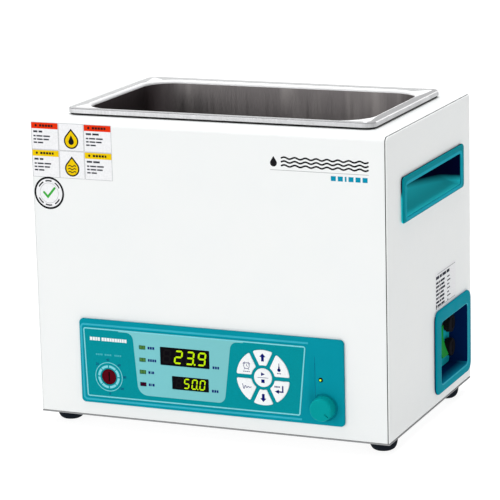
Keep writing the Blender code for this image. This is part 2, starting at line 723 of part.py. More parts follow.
def make_keys(surfaces):
    """Keys with a rounded front edge and a wider flange behind the moulding that retains them."""
    stations = ((BEZEL_FACE - KEY_PROUD, -0.3), (BEZEL_FACE - KEY_PROUD + 0.3, 0.0),
                (0.0, 0.0), (0.0, KEY_RETAINER), (1.2, KEY_RETAINER))
    for name, span in KEYS.items():
        rings = [ring("Y", key_outline(span, growth), depth(level)) for level, growth in stations]
        middle = arc(KEYPAD_CENTRE, (KEYPAD_OUTER + KEYPAD_INNER) / 2, sum(span) / 2, 360.0, 1)[0]
        pivot_on(solid(name, rings, surfaces["key"]),
                 (middle[0], depth(BEZEL_FACE), height(middle[1])))
    rings = [ring("Y", centre_key_outline(growth), depth(level)) for level, growth in stations]
    pivot_on(solid("key_start_stop", rings, surfaces["key"]),
             (KEYPAD_CENTRE[0], depth(BEZEL_FACE), height(KEYPAD_CENTRE[1])))


def make_displays(surfaces):
    for name, window in DISPLAYS.items():
        prisms(name, "Y", [on_panel(rounded_rect(*window, 0.6, 2))], depth(BEZEL_FACE + 0.2),
               depth(BOARD_FRONT - GAP), surfaces["window"])
    for number, place in enumerate(INDICATOR_HEIGHTS, start=1):
        prisms("indicator_%d" % number, "Y", [indicator_outline(place, 0.0)],
               depth(BEZEL_FACE - 0.1), depth(BOARD_FRONT - GAP), surfaces["indicator"])
    dome = ((0.7, depth(BEZEL_FACE + 0.3)), (1.5, depth(BEZEL_FACE + 0.8)),
            (PILOT_RADIUS, depth(BEZEL_FACE + 1.8)), (PILOT_RADIUS, depth(BOARD_FRONT - GAP)))
    turned("pilot_lamp", "Y", (PILOT_CENTRE[0], height(PILOT_CENTRE[1])), dome, 14,
           surfaces["indicator"])


def make_display_board(surfaces):
    low = (BOARD_X[0], BOARD_HEIGHTS[0])
    high = (BOARD_X[1], BOARD_HEIGHTS[1])
    outline = on_panel(rounded_rect(low, high, 2.0, 2))
    board = prisms("display_board", "Y", [outline], depth(BOARD_FRONT),
                   depth(BOARD_FRONT + BOARD_SHEET), surfaces["board"])
    hole = on_panel(circle(KNOB_CENTRE, 4.8, 16))
    cut(board, prisms("board_hole", "Y", [hole], depth(BOARD_FRONT - 2), depth(BOARD_FRONT + 4)))


def make_knob(surfaces):
    """Round knob with a hollow underside; its stem turns in the potentiometer's bushing."""
    centre = (KNOB_CENTRE[0], height(KNOB_CENTRE[1]))
    face = -KNOB_REACH
    skirt = BEZEL_FACE - GAP
    profile = ((3.0, depth(8.0)), (3.0, depth(skirt - 2.2)), (8.3, depth(skirt - 2.2)),
               (8.3, depth(skirt)), (9.8, depth(skirt)), (KNOB_RADIUS, depth(skirt - 0.6)),
               (KNOB_RADIUS - 0.3, depth(face + 1.0)), (KNOB_RADIUS - 0.8, depth(face + 0.3)),
               (KNOB_RADIUS - 1.6, depth(face)))
    knob = turned("knob", "Y", centre, profile, 28, surfaces["teal"])
    pivot_on(knob, (centre[0], depth(face), centre[1]))
    bushing_front = BEZEL_FACE + 0.3
    body = ((8.0, depth(22.0)), (8.0, depth(9.0)), (4.2, depth(9.0)), (4.2, depth(bushing_front)),
            (3.35, depth(bushing_front)), (3.35, depth(12.0)))
    turned("potentiometer", "Y", centre, body, 18, surfaces["galvanised"])


def make_limit_thermostat(surfaces):
    """Over-temperature cut-out: a screwdriver dial on the panel and the switch body behind it."""
    centre = (DIAL_CENTRE[0], height(DIAL_CENTRE[1]))
    front = BEZEL_FACE + 0.2
    profile = ((3.0, depth(8.7)), (3.0, depth(1.0)), (DIAL_RADIUS, depth(1.0)),
               (DIAL_RADIUS, depth(front + 0.4)), (DIAL_RADIUS - 0.4, depth(front)))
    dial = turned("limit_dial", "Y", centre, profile, 24, surfaces["red"])
    slot = ((centre[0] - 4.5, centre[1] - 0.7), (centre[0] + 4.5, centre[1] - 0.7),
            (centre[0] + 4.5, centre[1] + 0.7), (centre[0] - 4.5, centre[1] + 0.7))
    cut(dial, prisms("dial_slot", "Y", [slot], depth(front - 1.0), depth(front + 0.9)))
    pivot_on(dial, (centre[0], depth(front), centre[1]))
    half = 16.0
    body = rounded_rect((centre[0] - half, centre[1] - half), (centre[0] + half, centre[1] + half),
                        3.0, 3)
    prisms("limit_thermostat", "Y", [body], depth(9.0), depth(34.0), surfaces["black"])


# ------------------------------------------------------------------ power recess
def make_power_recess(surfaces):
    """Moulded recess in the right side that holds the inlet, the switch and the fuses."""
    face = HALF_WIDTH + FRAME_PROUD
    shell_back = POWER_FLOOR - POWER_WALL
    stations = (
        (shell_back, grown(POWER_MOUTH, POWER_WALL - 1.5), POWER_MOUTH_CORNER),
        (HALF_WIDTH + GAP, grown(POWER_MOUTH, POWER_WALL), POWER_MOUTH_CORNER + 1.0),
        (HALF_WIDTH + GAP, POWER_FRAME, POWER_FRAME_CORNER),
        (face - 1.0, POWER_FRAME, POWER_FRAME_CORNER),
        (face, grown(POWER_FRAME, -1.0), POWER_FRAME_CORNER - 1.0),
        (face, grown(POWER_MOUTH, 0.8), POWER_MOUTH_CORNER + 0.8),
        (face - 0.8, POWER_MOUTH, POWER_MOUTH_CORNER),
        (POWER_FLOOR + 1.0, grown(POWER_MOUTH, -1.0), POWER_MOUTH_CORNER - 1.0),
        (POWER_FLOOR, grown(POWER_MOUTH, -2.0), POWER_MOUTH_CORNER - 2.0),
    )
    rings = [ring("X", on_side(rounded_rect(*mouth, radius, 4)), level)
             for level, mouth, radius in stations]
    recess = solid("power_recess", rings, surfaces["teal"])
    openings = [on_side(side_rect(SWITCH_CENTRE, 9.6, 16.1)),
                on_side(side_rect(INLET_CENTRE, 13.8, 10.8))]
    for place in FUSE_HEIGHTS.values():
        openings.append(on_side(circle((FUSE_DEPTH, place), 6.5, 16)))
    cut(recess, prisms("power_openings", "X", openings, shell_back - 2.0, POWER_FLOOR + 2.0))


def side_rect(centre, half_depth, half_height):
    low = (centre[0] - half_depth, centre[1] - half_height)
    high = (centre[0] + half_depth, centre[1] + half_height)
    return low, (high[0], low[1]), high, (low[0], high[1])


def make_switch(surfaces):
    """Rocker switch: a snap-in housing and a rocker that rests tilted with its top pressed in."""
    flange_back = POWER_FLOOR + GAP
    stations = ((POWER_FLOOR - 14.0, 9.3, 15.8), (flange_back, 9.3, 15.8), (flange_back, 10.3, 17.2),
                (flange_back + 1.2, 10.3, 17.2), (flange_back + 1.7, 9.8, 16.7),
                (flange_back + 1.7, 8.4, 14.8), (POWER_FLOOR - 12.0, 8.4, 14.8))
    rings = [ring("X", on_side(side_rect(SWITCH_CENTRE, half_y, half_z)), level)
             for level, half_y, half_z in stations]
    solid("switch_housing", rings, surfaces["black"])
    axis_z = height(SWITCH_CENTRE[1])
    half_length, crest, waist, belly = 14.0, 5.0, 2.8, -5.0
    shape = ((-half_length, 0.0), (-half_length + 2.5, belly), (half_length - 2.5, belly),
             (half_length, 0.0), (half_length, crest), (0.0, waist), (-half_length, crest))
    tilt = math.radians(ROCKER_TILT)
    outline = []
    for along, out in shape:
        x = ROCKER_AXIS_X + out * math.cos(tilt) - along * math.sin(tilt)
        z = axis_z + along * math.cos(tilt) + out * math.sin(tilt)
        outline.append((x, z))
    half_width = 8.0
    middle = depth(SWITCH_CENTRE[0])
    rocker = prisms("power_rocker", "Y", [outline], middle - half_width, middle + half_width,
                    surfaces["rocker"])
    pivot_on(rocker, (ROCKER_AXIS_X, middle, axis_z))


def make_fuses(surfaces):
    """Panel fuse holders; each cap carries its fuse and turns in the holder's bore."""
    seat = POWER_FLOOR + GAP
    for row_name, place in FUSE_HEIGHTS.items():
        centre = (depth(FUSE_DEPTH), height(place))
        barrel = ((6.2, POWER_FLOOR - 26.0), (6.2, seat), (7.5, seat), (7.5, seat + 1.4), (4.7, seat + 1.4),
                  (4.7, POWER_FLOOR - 22.0))
        turned("fuse_holder_" + row_name, "X", centre, barrel, 16, surfaces["black"])
        cap_back = seat + 1.4 + GAP
        cap = ((4.2, POWER_FLOOR - 19.0), (4.2, cap_back), (8.6, cap_back),
               (8.4, cap_back + 4.2), (7.6, cap_back + 5.0))
        made = turned("fuse_cap_" + row_name, "X", centre, cap, 18, surfaces["black"])
        slot = ((centre[0] - 0.7, centre[1] - 5.0), (centre[0] + 0.7, centre[1] - 5.0),
                (centre[0] + 0.7, centre[1] + 5.0), (centre[0] - 0.7, centre[1] + 5.0))
        cut(made, prisms("fuse_slot_" + row_name, "X", [slot], cap_back + 3.8, cap_back + 8.0))
        pivot_on(made, (cap_back, centre[0], centre[1]))


def make_power_inlet(surfaces):
    """Three-pole appliance inlet, snapped into the recess floor."""
    seat = POWER_FLOOR + GAP
    stations = ((POWER_FLOOR - 23.0, 13.5, 10.5), (seat, 13.5, 10.5), (seat, 15.0, 12.2),
                (seat + 1.6, 15.0, 12.2), (seat + 1.6, 12.2, 8.4), (seat - 14.4, 12.2, 8.4))
    rings = [ring("X", on_side(side_rect(INLET_CENTRE, half_y, half_z)), level)
             for level, half_y, half_z in stations]
    inlet = solid("power_inlet", rings, surfaces["black"])
    for number, (across, up) in enumerate(((-7.0, -2.0), (7.0, -2.0), (0.0, 2.5))):
        blade = (INLET_CENTRE[0] + across, INLET_CENTRE[1] + up)
        join(inlet, prisms("inlet_pin_%d" % number, "X", [on_side(side_rect(blade, 1.0, 2.0))],
                           seat - 15.4, seat - 2.0))


# ------------------------------------------------------------------ inner electrics
def make_control_board(surfaces):
    """Main board on four stand-offs, with a relay, a capacitor and a small transformer block."""
    low = Vector((-98.0, depth(76.0), FLOOR_LEVEL + 8.0))
    high = Vector((-8.0, depth(160.0), FLOOR_LEVEL + 9.6))
    board = box("control_board", low, high, surfaces["board"])
    for number, (x, y) in enumerate(((low.x, low.y), (high.x, low.y), (low.x, high.y),
                                     (high.x, high.y))):
        centre = (x + math.copysign(5.0, -53.0 - x), y + math.copysign(5.0, depth(118.0) - y))
        join(board, turned("stand_off_%d" % number, "Z", centre,
                           ((2.5, FLOOR_LEVEL), (2.5, low.z + 0.5)), 8))
    top = high.z - 0.5
    join(board, box("relay", (-88.0, depth(120.0), top), (-68.0, depth(148.0), top + 17.0)))
    join(board, box("board_supply", (-52.0, depth(112.0), top), (-22.0, depth(144.0), top + 22.0)))
    capacitor = ((5.0, top), (5.0, top + 20.0))
    join(board, turned("capacitor", "Z", (-30.0, depth(94.0)), capacitor, 12))


def make_transformer(surfaces):
    low = Vector((6.0, depth(88.0), FLOOR_LEVEL))
    high = Vector((56.0, depth(118.0), FLOOR_LEVEL + 42.0))
    core = box("transformer", low, high, surfaces["galvanised"])
    coil = rounded_rect((low.x + 9.0, low.y - 10.0), (high.x - 9.0, high.y + 10.0), 6.0, 3)
    join(core, prisms("coil", "Z", [coil], low.z + 6.0, high.z - 6.0))


def make_relay_stack(surfaces):
    """Finned heat sink with the solid state relay that switches the heater on top."""
    low_x, fin, pitch, count = 62.0, 2.0, 6.0, 6
    top = FLOOR_LEVEL + 20.0
    underside = top - 4.0
    high_x = low_x + (count - 1) * pitch + fin
    profile = [(high_x, top), (low_x, top)]
    for number in range(count):
        left = low_x + number * pitch
        profile += [(left, FLOOR_LEVEL), (left + fin, FLOOR_LEVEL)]
        if number < count - 1:
            profile += [(left + fin, underside), (left + pitch, underside)]
    prisms("heat_sink", "Y", [profile], depth(78.0), depth(150.0), surfaces["galvanised"])
    box("solid_state_relay", (low_x, depth(84.0), top + GAP), (high_x, depth(142.0), top + 23.0),
        surfaces["black"])


def make_terminal_block(surfaces):
    """Stepped block that joins the inlet, the switch, the fuses and the boards."""
    low_x, high_x, step = 122.0, 150.0, 7.0
    top = FLOOR_LEVEL + 20.0
    profile = ((low_x, FLOOR_LEVEL), (high_x, FLOOR_LEVEL), (high_x, top - 9.0),
               (high_x - step, top - 9.0), (high_x - step, top), (low_x + step, top),
               (low_x + step, top - 9.0), (low_x, top - 9.0))
    prisms("terminal_block", "Y", [profile], depth(60.0), depth(116.0), surfaces["key"])


def main():
    for existing in list(bpy.data.objects):
        bpy.data.objects.remove(existing, do_unlink=True)
    surfaces = make_surfaces()
    make_base_plate(surfaces)
    make_front_top_shell(surfaces)
    make_rear_panel(surfaces)
    make_rear_screws(surfaces)
    for side, side_name in ((-1, "left"), (1, "right")):
        make_side_panel("side_panel_" + side_name, side, surfaces)
        make_grip_recess("grip_recess_" + side_name, side, surfaces)
    make_feet(surfaces)
    make_tank(surfaces)
    make_tank_seals(surfaces)
    make_heater(surfaces)
    make_sensors(surfaces)
    make_bezel(surfaces)
    make_overlay(surfaces)
    make_keys(surfaces)
    make_displays(surfaces)
    make_display_board(surfaces)
    make_knob(surfaces)
    make_limit_thermostat(surfaces)
    make_power_recess(surfaces)
    make_switch(surfaces)
    make_fuses(surfaces)
    make_power_inlet(surfaces)
    make_control_board(surfaces)
    make_transformer(surfaces)
    make_relay_stack(surfaces)
    make_terminal_block(surfaces)


main()
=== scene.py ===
"""Looks of the bench water bath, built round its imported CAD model.

Numbers are in millimetres and Shape turns them into metres.  The origin is the bottom centre of
the object's box, +X is the operator's right, +Y points to the rear and +Z up.  "Depth" starts at
the case's front face and "height" at the case's underside.  Panel points are (x, height) and side
points are (depth, height).
"""

import json
import math

import bmesh
import bpy
from mathutils import Matrix, Vector


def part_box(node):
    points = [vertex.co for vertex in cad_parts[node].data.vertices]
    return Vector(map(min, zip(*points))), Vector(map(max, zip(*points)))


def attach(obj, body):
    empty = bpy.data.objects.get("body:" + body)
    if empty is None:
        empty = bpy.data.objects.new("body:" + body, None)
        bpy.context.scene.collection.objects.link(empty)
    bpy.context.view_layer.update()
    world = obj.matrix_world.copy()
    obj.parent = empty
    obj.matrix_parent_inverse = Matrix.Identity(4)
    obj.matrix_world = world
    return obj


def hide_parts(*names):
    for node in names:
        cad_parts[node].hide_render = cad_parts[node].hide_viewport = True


MM = 0.001
ROOT = "bath"
SHARP_ANGLE = math.radians(20)
DULL = 0.02                 # specular level of mouldings and inks
FLAT = 0.004                # specular level of mouldings on the sides
INK = 0.05                  # thickness of printed ink
FILM = 0.12                 # thickness of a sticker

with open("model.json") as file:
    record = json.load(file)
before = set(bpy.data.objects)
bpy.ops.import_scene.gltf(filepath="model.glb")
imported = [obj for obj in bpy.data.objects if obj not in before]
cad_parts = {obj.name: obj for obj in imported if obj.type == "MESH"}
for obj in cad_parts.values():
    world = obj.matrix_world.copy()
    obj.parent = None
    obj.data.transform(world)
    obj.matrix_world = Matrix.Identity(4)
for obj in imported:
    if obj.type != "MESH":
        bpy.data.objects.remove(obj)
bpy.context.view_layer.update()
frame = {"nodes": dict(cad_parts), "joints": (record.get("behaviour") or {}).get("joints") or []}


def box_mm(node):
    """A CAD node's lowest and highest corner."""
    low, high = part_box(node)
    return Vector(low) / MM, Vector(high) / MM


def span_mm(node):
    """A CAD node's centre and half size."""
    low, high = box_mm(node)
    return (low + high) / 2, (high - low) / 2


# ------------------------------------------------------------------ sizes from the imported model
shell_low, shell_high = box_mm("front_top_shell")
CASE_FRONT = shell_low.y
CASE_REAR = shell_high.y
CASE_TOP = shell_high.z
SEAM = 0.15                 # how much wider the seams are than the CAD model's air gaps
LEFT_REACH = 0.4            # how far the front sheet closes the seam on the left
TOP_STEP = 0.35             # how far the side panels end below the case's top
SHEET_HALF = shell_high.x - SEAM
PANEL_BOTTOM = shell_low.z + SEAM
CASE_BOTTOM = box_mm("base_plate")[0].z
HALF_WIDTH = box_mm("side_panel_right")[1].x
RIM_TOP = box_mm("tank")[1].z
TANK_Y = span_mm("tank_insulation")[0].y


def depth(distance):
    """World y of a distance behind the case's front face."""
    return CASE_FRONT + distance


def height(distance):
    """World z of a distance above the case's underside."""
    return CASE_BOTTOM + distance


def panel_span(node):
    """Centre in (x, height) and half size in (x, z) of a node on the control panel."""
    centre, half = span_mm(node)
    return (centre.x, centre.z - CASE_BOTTOM), (half.x, half.z)


def side_span(node):
    """Centre in (depth, height) and half size in (y, z) of a node on the right side."""
    centre, half = span_mm(node)
    return (centre.y - CASE_FRONT, centre.z - CASE_BOTTOM), (half.y, half.z)


# Case sheets
SHEET = 1.2
GAP = 0.3
BEND_RADIUS = 5.0
SIDE_SHEET = 1.5
SIDE_EDGE = 1.2
SIDE_INNER = HALF_WIDTH - SIDE_SHEET
LIP_INSET = SHEET + GAP
LIP_REACH = 10.0
FRAME_PROUD = 2.5
SCREW_RADIUS = 1.5
SCREW_HEAD_RADIUS = 3.4
SLOT_HALF = (1.7, 0.35)     # half length and half width of a bar of the screws' cross recess

# Tank; growth is the distance outwards from the mouth's edge
MOUTH_HALF = (136.0, 79.75)
MOUTH_CORNER = 28.0
MOUTH_EDGE = 3.0
FLANGE_SIDE = 12.0
FLANGE_FRONT = 8.0
FLANGE_REAR = 16.0
FLANGE_CORNER = 10.0
FLANGE_EDGE = 1.2           # radius of the bend from the flange into its lip
BAND_WIDTH = 6.0            # where the darker brushed band on the right of the flange begins; its darkness is painted shade
TANK_SHEET = 1.0
TANK_TAPER = 2.0
TANK_FILLET = 12.0
LIP_BOTTOM = RIM_TOP - 4.4
TANK_FLOOR = RIM_TOP - 150.0

# Control panel
bezel_low, bezel_high = box_mm("bezel")
BEZEL_LEFT = bezel_low.x
BEZEL_RIGHT = bezel_high.x
BEZEL_LOW = bezel_low.z - CASE_BOTTOM
BEZEL_HIGH = bezel_high.z - CASE_BOTTOM
BEZEL_CORNER = 4.0
BEZEL_FACE = bezel_low.y - CASE_FRONT
TRAY_INSET = 5.0
TRAY_WALL = 1.6
TRAY_BACK = 8.0
OVERLAY_CORNERS = ((-121.3, 19.5), (87.6, 20.2), (93.6, 84.2), (-123.4, 84.3))
OVERLAY_RADIUS = 2.2
OPENING_GAP = 0.3           # clearance round whatever stands in an opening of the panel
VALLEY_LEFT = 94.8          # x of the valley beside the overlay: its left edge,
VALLEY_BOTTOM = 101.2       # its deepest line
VALLEY_RIGHT = 102.4        # and its right edge
OVERLAY_FACE = box_mm("overlay")[0].y - CASE_FRONT
KEYPAD_CENTRE = panel_span("key_start_stop")[0]
KEYPAD_OUTER = 25.3
KEYPAD_INNER = 11.3
KEYPAD_HALF_WEB = 1.9
CENTRE_KEY_RADIUS = 8.5
KEY_FACE = box_mm("key_up")[0].y - CASE_FRONT
KEYS = {
    "key_up": (64.0, 116.0),
    "key_timer": (116.0, 180.0),
    "key_auto_tune": (180.0, 244.0),
    "key_down": (244.0, 296.0),
    "key_enter": (296.0, 360.0),
    "key_temperature": (0.0, 64.0),
}
DIAL_CENTRE, (DIAL_RADIUS, _) = panel_span("limit_dial")
KNOB_CENTRE, (KNOB_RADIUS, _) = panel_span("knob")
PILOT_CENTRE, (PILOT_RADIUS, _) = panel_span("pilot_lamp")
LENS_HALF = (panel_span("indicator_1")[1][0], 1.6)

# Recesses in the sides, in depth and height
GRIP_FRAME = ((34.5, 190.4), (203.0, 231.3))
GRIP_MOUTH = ((43.0, 194.5), (195.0, 223.5))
GRIP_WALL = 2.0
POWER_FRAME = ((121.0, 10.4), (222.0, 89.0))
POWER_MOUTH = ((134.8, 18.0), (213.0, 77.0))
POWER_FRAME_CORNER = 9.0
POWER_MOUTH_CORNER = 5.0
POWER_FLOOR = 153.5
POWER_WALL = 2.0
INLET_CENTRE = side_span("power_inlet")[0]
INLET_HOLE = (13.8, 10.8)   # half depth and half height
SWITCH_CENTRE = side_span("switch_housing")[0]
SWITCH_HOLE = (9.6, 16.1)
FUSE_HOLE_RADIUS = 6.5


# ------------------------------------------------------------------ outlines
def arc(centre, radius, start, end, steps):
    """Points on an arc; the angles are in degrees, anticlockwise from the first axis."""
    points = []
    for step in range(steps + 1):
        angle = math.radians(start + (end - start) * step / steps)
        points.append((centre[0] + radius * math.cos(angle), centre[1] + radius * math.sin(angle)))
    return points


def circle(centre, radius, segments):
    return arc(centre, radius, 0.0, 360.0, segments)[:-1]


def rounded_polygon(corners, radii, steps):
    """Outline whose corners are arcs tangent to their sides; a radius of 0 keeps the corner."""
    points = []
    for index, corner in enumerate(corners):
        if radii[index] == 0:
            points.append(tuple(corner))
            continue
        here = Vector(corner)
        back = (Vector(corners[index - 1]) - here).normalized()
        ahead = (Vector(corners[(index + 1) % len(corners)]) - here).normalized()
        half = back.angle(ahead) / 2
        reach = radii[index] / math.tan(half)
        centre = here + (back + ahead).normalized() * (radii[index] / math.sin(half))
        first = here + back * reach - centre
        last = here + ahead * reach - centre
        start = math.degrees(math.atan2(first.y, first.x))
        sweep = math.degrees(math.atan2(last.y, last.x)) - start
        sweep = (sweep + 180.0) % 360.0 - 180.0
        points += arc(centre, radii[index], start, start + sweep, steps)
    return points


def square_rect(low, high):
    return low, (high[0], low[1]), high, (low[0], high[1])


def rounded_rect(low, high, radius, steps=6):
    return rounded_polygon(square_rect(low, high), [radius] * 4, steps)


def around(centre, half_width, half_height):
    """(low, high) rectangle about a centre."""
    return ((centre[0] - half_width, centre[1] - half_height),
            (centre[0] + half_width, centre[1] + half_height))


def grown(box, amount):
    low, high = box
    return (low[0] - amount, low[1] - amount), (high[0] + amount, high[1] + amount)


def stroke(points, width):
    """Outline of a pen line of some width through the points, with round ends."""
    path = [Vector(point) for point in points]
    half = width / 2
    left, right = [], []
    for index, here in enumerate(path):
        coming = (here - path[index - 1]).normalized() if index else None
        going = (path[index + 1] - here).normalized() if index < len(path) - 1 else coming
        coming = coming or going
        across = (coming.orthogonal() + going.orthogonal()).normalized()
        reach = half / max(across.dot(going.orthogonal()), 0.4)
        left.append(tuple(here + across * reach))
        right.append(tuple(here - across * reach))
    tail = math.degrees(math.atan2(*reversed(path[1] - path[0])))
    tip = math.degrees(math.atan2(*reversed(path[-1] - path[-2])))
    start_cap = arc(path[0], half, tail + 90, tail + 270, 6)[1:-1]
    end_cap = arc(path[-1], half, tip - 90, tip + 90, 6)[1:-1]
    return left[:1] + start_cap + right + end_cap + list(reversed(left[1:]))


def wave(low, high, rise, turns, steps=48):
    """Points on a sine wave from low to high; the wave starts upwards."""
    points = []
    for step in range(steps + 1):
        share = step / steps
        x = low[0] + (high[0] - low[0]) * share
        y = low[1] + (high[1] - low[1]) * share
        points.append((x, y + rise * math.sin(2 * math.pi * turns * share)))
    return points


def droplet(centre, radius, tip, steps=20):
    """Water drop: a round belly that narrows to a point above it."""
    lean = math.degrees(math.asin(radius / tip))
    belly = arc(centre, radius, 180.0 - lean, 360.0 + lean, steps)
    return belly + [(centre[0], centre[1] + tip)]


def smoothed(stations, per_span):
    """Catmull-Rom points through a row of equal tuples."""
    padded = [stations[0], *stations, stations[-1]]
    points = []
    for index in range(len(stations) - 1):
        before, start, end, after = padded[index:index + 4]
        for step in range(per_span):
            t = step / per_span
            point = []
            for a, b, c, d in zip(before, start, end, after):
                bend = 2 * a - 5 * b + 4 * c - d
                twist = 3 * b - a - 3 * c + d
                point.append((2 * b + (c - a) * t + bend * t ** 2 + twist * t ** 3) / 2)
            points.append(tuple(point))
    points.append(tuple(stations[-1]))
    return points


def quarter(steps):
    """(cosine, sine) pairs over a quarter turn."""
    angles = [math.radians(90.0 * step / steps) for step in range(steps + 1)]
    return [(math.cos(angle), math.sin(angle)) for angle in angles]


def edge_arc(level, outer_level, radius, steps=5):
    """(level, inset) pairs of a rounded outer edge, from the face inwards to the side wall."""
    reach = math.copysign(radius, outer_level - level)
    return [(outer_level - reach * (1 - cosine), radius * (1 - sine))
            for cosine, sine in quarter(steps)]


def on_panel(points):
    return [panel_point(point) for point in points]


def panel_point(centre):
    """A point of the panel in world x and z."""
    return centre[0], height(centre[1])


def on_side(points):
    return [(depth(y), height(z)) for y, z in points]


def ring(axis, outline, level):
    """An outline placed square to an axis at a level along it."""
    if axis == "X":
        return [(level, u, v) for u, v in outline]
    if axis == "Y":
        return [(u, level, v) for u, v in outline]
    return [(u, v, level) for u, v in outline]


# ------------------------------------------------------------------ mesh pieces
class Shape:
    """Closed skins, in millimetres, that end up as one mesh piece."""

    def __init__(self):
        self.bm = bmesh.new()

    def skin(self, rings, closed=False):
        """Skins a row of equal rings; the row is capped at both ends or closed on itself."""
        loops = [[self.bm.verts.new(Vector(point) * MM) for point in points] for points in rings]
        pairs = list(zip(loops, loops[1:]))
        if closed:
            pairs.append((loops[-1], loops[0]))
        else:
            self.bm.faces.new(loops[0])
            self.bm.faces.new(loops[-1])
        for first, second in pairs:
            for index in range(len(first)):
                after = (index + 1) % len(first)
                self.bm.faces.new((first[index], first[after], second[after], second[index]))
        return self

    def stack(self, axis, stations, outline, closed=False):
        """Skins the outlines that a function gives for stations of a level and its arguments."""
        return self.skin([ring(axis, outline(*rest), level) for level, *rest in stations], closed)

    def prism(self, axis, outline, low, high):
        return self.skin([ring(axis, outline, low), ring(axis, outline, high)])

    def prisms(self, axis, outlines, low, high):
        for outline in outlines:
            self.prism(axis, outline, low, high)
        return self

    def turned(self, axis, centre, profile, segments=48, closed=False):
        """Turned body; the profile holds (radius, level) pairs."""
        rings = [ring(axis, circle(centre, radius, segments), level) for radius, level in profile]
        return self.skin(rings, closed)

    def piece(self, name, finish, body=ROOT, replaces=None, slot=None):
        """Makes the piece, gives it its finish, hangs it on its body and hides the CAD part that it
        replaces.
        """
        made = self.plain(name)
        add_finishes(made, finish)
        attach(made, body)
        if replaces:
            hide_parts(replaces)
        return made

    def plain(self, name):
        bmesh.ops.recalc_face_normals(self.bm, faces=self.bm.faces)
        mesh = bpy.data.meshes.new(name)
        self.bm.to_mesh(mesh)
        self.bm.free()
        soften_normals(mesh)
        made = bpy.data.objects.new(name, mesh)
        bpy.context.collection.objects.link(made)
        return made


def add_finishes(piece, *names):
    for name in names:
        piece.data.materials.append(FINISHES[name])


def soften_normals(mesh, angle=SHARP_ANGLE):
    mesh.shade_smooth()
    mesh.set_sharp_from_angle(angle=angle)


def evaluated_mesh(holder):
    bpy.context.view_layer.update()
    depsgraph = bpy.context.evaluated_depsgraph_get()
    return bpy.data.meshes.new_from_object(holder.evaluated_get(depsgraph))


def carve(piece, cutter_shape, angle=SHARP_ANGLE):
    """Cuts a shape out of a piece for good."""
    cutter = cutter_shape.plain("cutter")
    modifier = piece.modifiers.new("carve", "BOOLEAN")
    modifier.operation = "DIFFERENCE"
    modifier.object = cutter
    mesh = evaluated_mesh(piece)
    piece.modifiers.remove(modifier)
    old = piece.data
    name = old.name
    piece.data = mesh
    bpy.data.meshes.remove(old)
    mesh.name = name
    soften_normals(mesh, angle)
    cutter_mesh = cutter.data
    bpy.data.objects.remove(cutter, do_unlink=True)
    bpy.data.meshes.remove(cutter_mesh)
    return piece


def round_edges(piece, width, segments=2, limit=40.0):
    """Live bevel along the piece's sharp edges."""
    modifier = piece.modifiers.new("edges", "BEVEL")
    modifier.width = width * MM
    modifier.segments = segments
    modifier.limit_method = "ANGLE"
    modifier.angle_limit = math.radians(limit)
    modifier.harden_normals = True
    return piece


class Print(Shape):
    """Ink or film shapes on one flat face, from its level outwards."""

    def __init__(self, axis, level, thickness, place):
        super().__init__()
        self.axis = axis
        self.level = level
        self.outer = level + thickness
        self.place = place

    def fill(self, outline):
        self.prism(self.axis, self.place(outline), self.level, self.outer)
        return self

    def box(self, low, high, radius=0.0):
        return self.fill(rounded_rect(low, high, radius, 4) if radius else square_rect(low, high))

    def disc(self, centre, radius, segments=32):
        return self.fill(circle(centre, radius, segments))

    def line(self, points, width):
        return self.fill(stroke(points, width))

    def band(self, outer, inner):
        """Flat band between two outlines that have equally many points."""
        outer, inner = self.place(outer), self.place(inner)
        rings = [ring(self.axis, inner, self.level), ring(self.axis, inner, self.outer),
                 ring(self.axis, outer, self.outer), ring(self.axis, outer, self.level)]
        self.skin(rings, closed=True)
        return self

    def sector(self, centre, inner, outer, start, end, steps=16):
        """Part of a round band between two angles."""
        points = arc(centre, outer, start, end, steps)
        points += reversed(arc(centre, inner, start, end, steps))
        return self.fill(points)

    def hoop(self, centre, radius, width, segments=48):
        return self.band(circle(centre, radius + width / 2, segments),
                         circle(centre, radius - width / 2, segments))

    def words(self, start, bar_height, lengths, gap):
        """Row of plain bars that stands in for a line of small print."""
        x = start[0]
        for length in lengths:
            self.box((x, start[1]), (x + length, start[1] + bar_height))
            x += length + gap
        return self

    def number(self, text, size, centre):
        """Flat numeral, centred on a point of the panel."""
        curve = bpy.data.curves.new("numeral", "FONT")
        curve.body = text
        curve.size = size * MM
        curve.align_x = "CENTER"
        curve.align_y = "CENTER"
        curve.extrude = abs(self.outer - self.level) / 2 * MM
        curve.resolution_u = 3
        holder = bpy.data.objects.new("numeral", curve)
        bpy.context.collection.objects.link(holder)
        mesh = evaluated_mesh(holder)
        (x, z), = self.place([centre])
        middle = (self.level + self.outer) / 2
        upright = Matrix.Rotation(math.radians(90), 4, "X")
        mesh.transform(Matrix.Translation(Vector((x, middle, z)) * MM) @ upright)
        self.bm.from_mesh(mesh)
        bmesh.ops.remove_doubles(self.bm, verts=self.bm.verts, dist=1e-7)
        bpy.data.objects.remove(holder, do_unlink=True)
        bpy.data.curves.remove(curve)
        bpy.data.meshes.remove(mesh)
        return self


def panel_print(face, thickness=INK):
    """Print on a face that looks to the front; the face is given as a depth."""
    return Print("Y", depth(face), -thickness, on_panel)


def side_print(level, thickness=INK):
    """Print on a face that looks to the right; the face is given as a world x."""
    return Print("X", level, thickness, on_side)


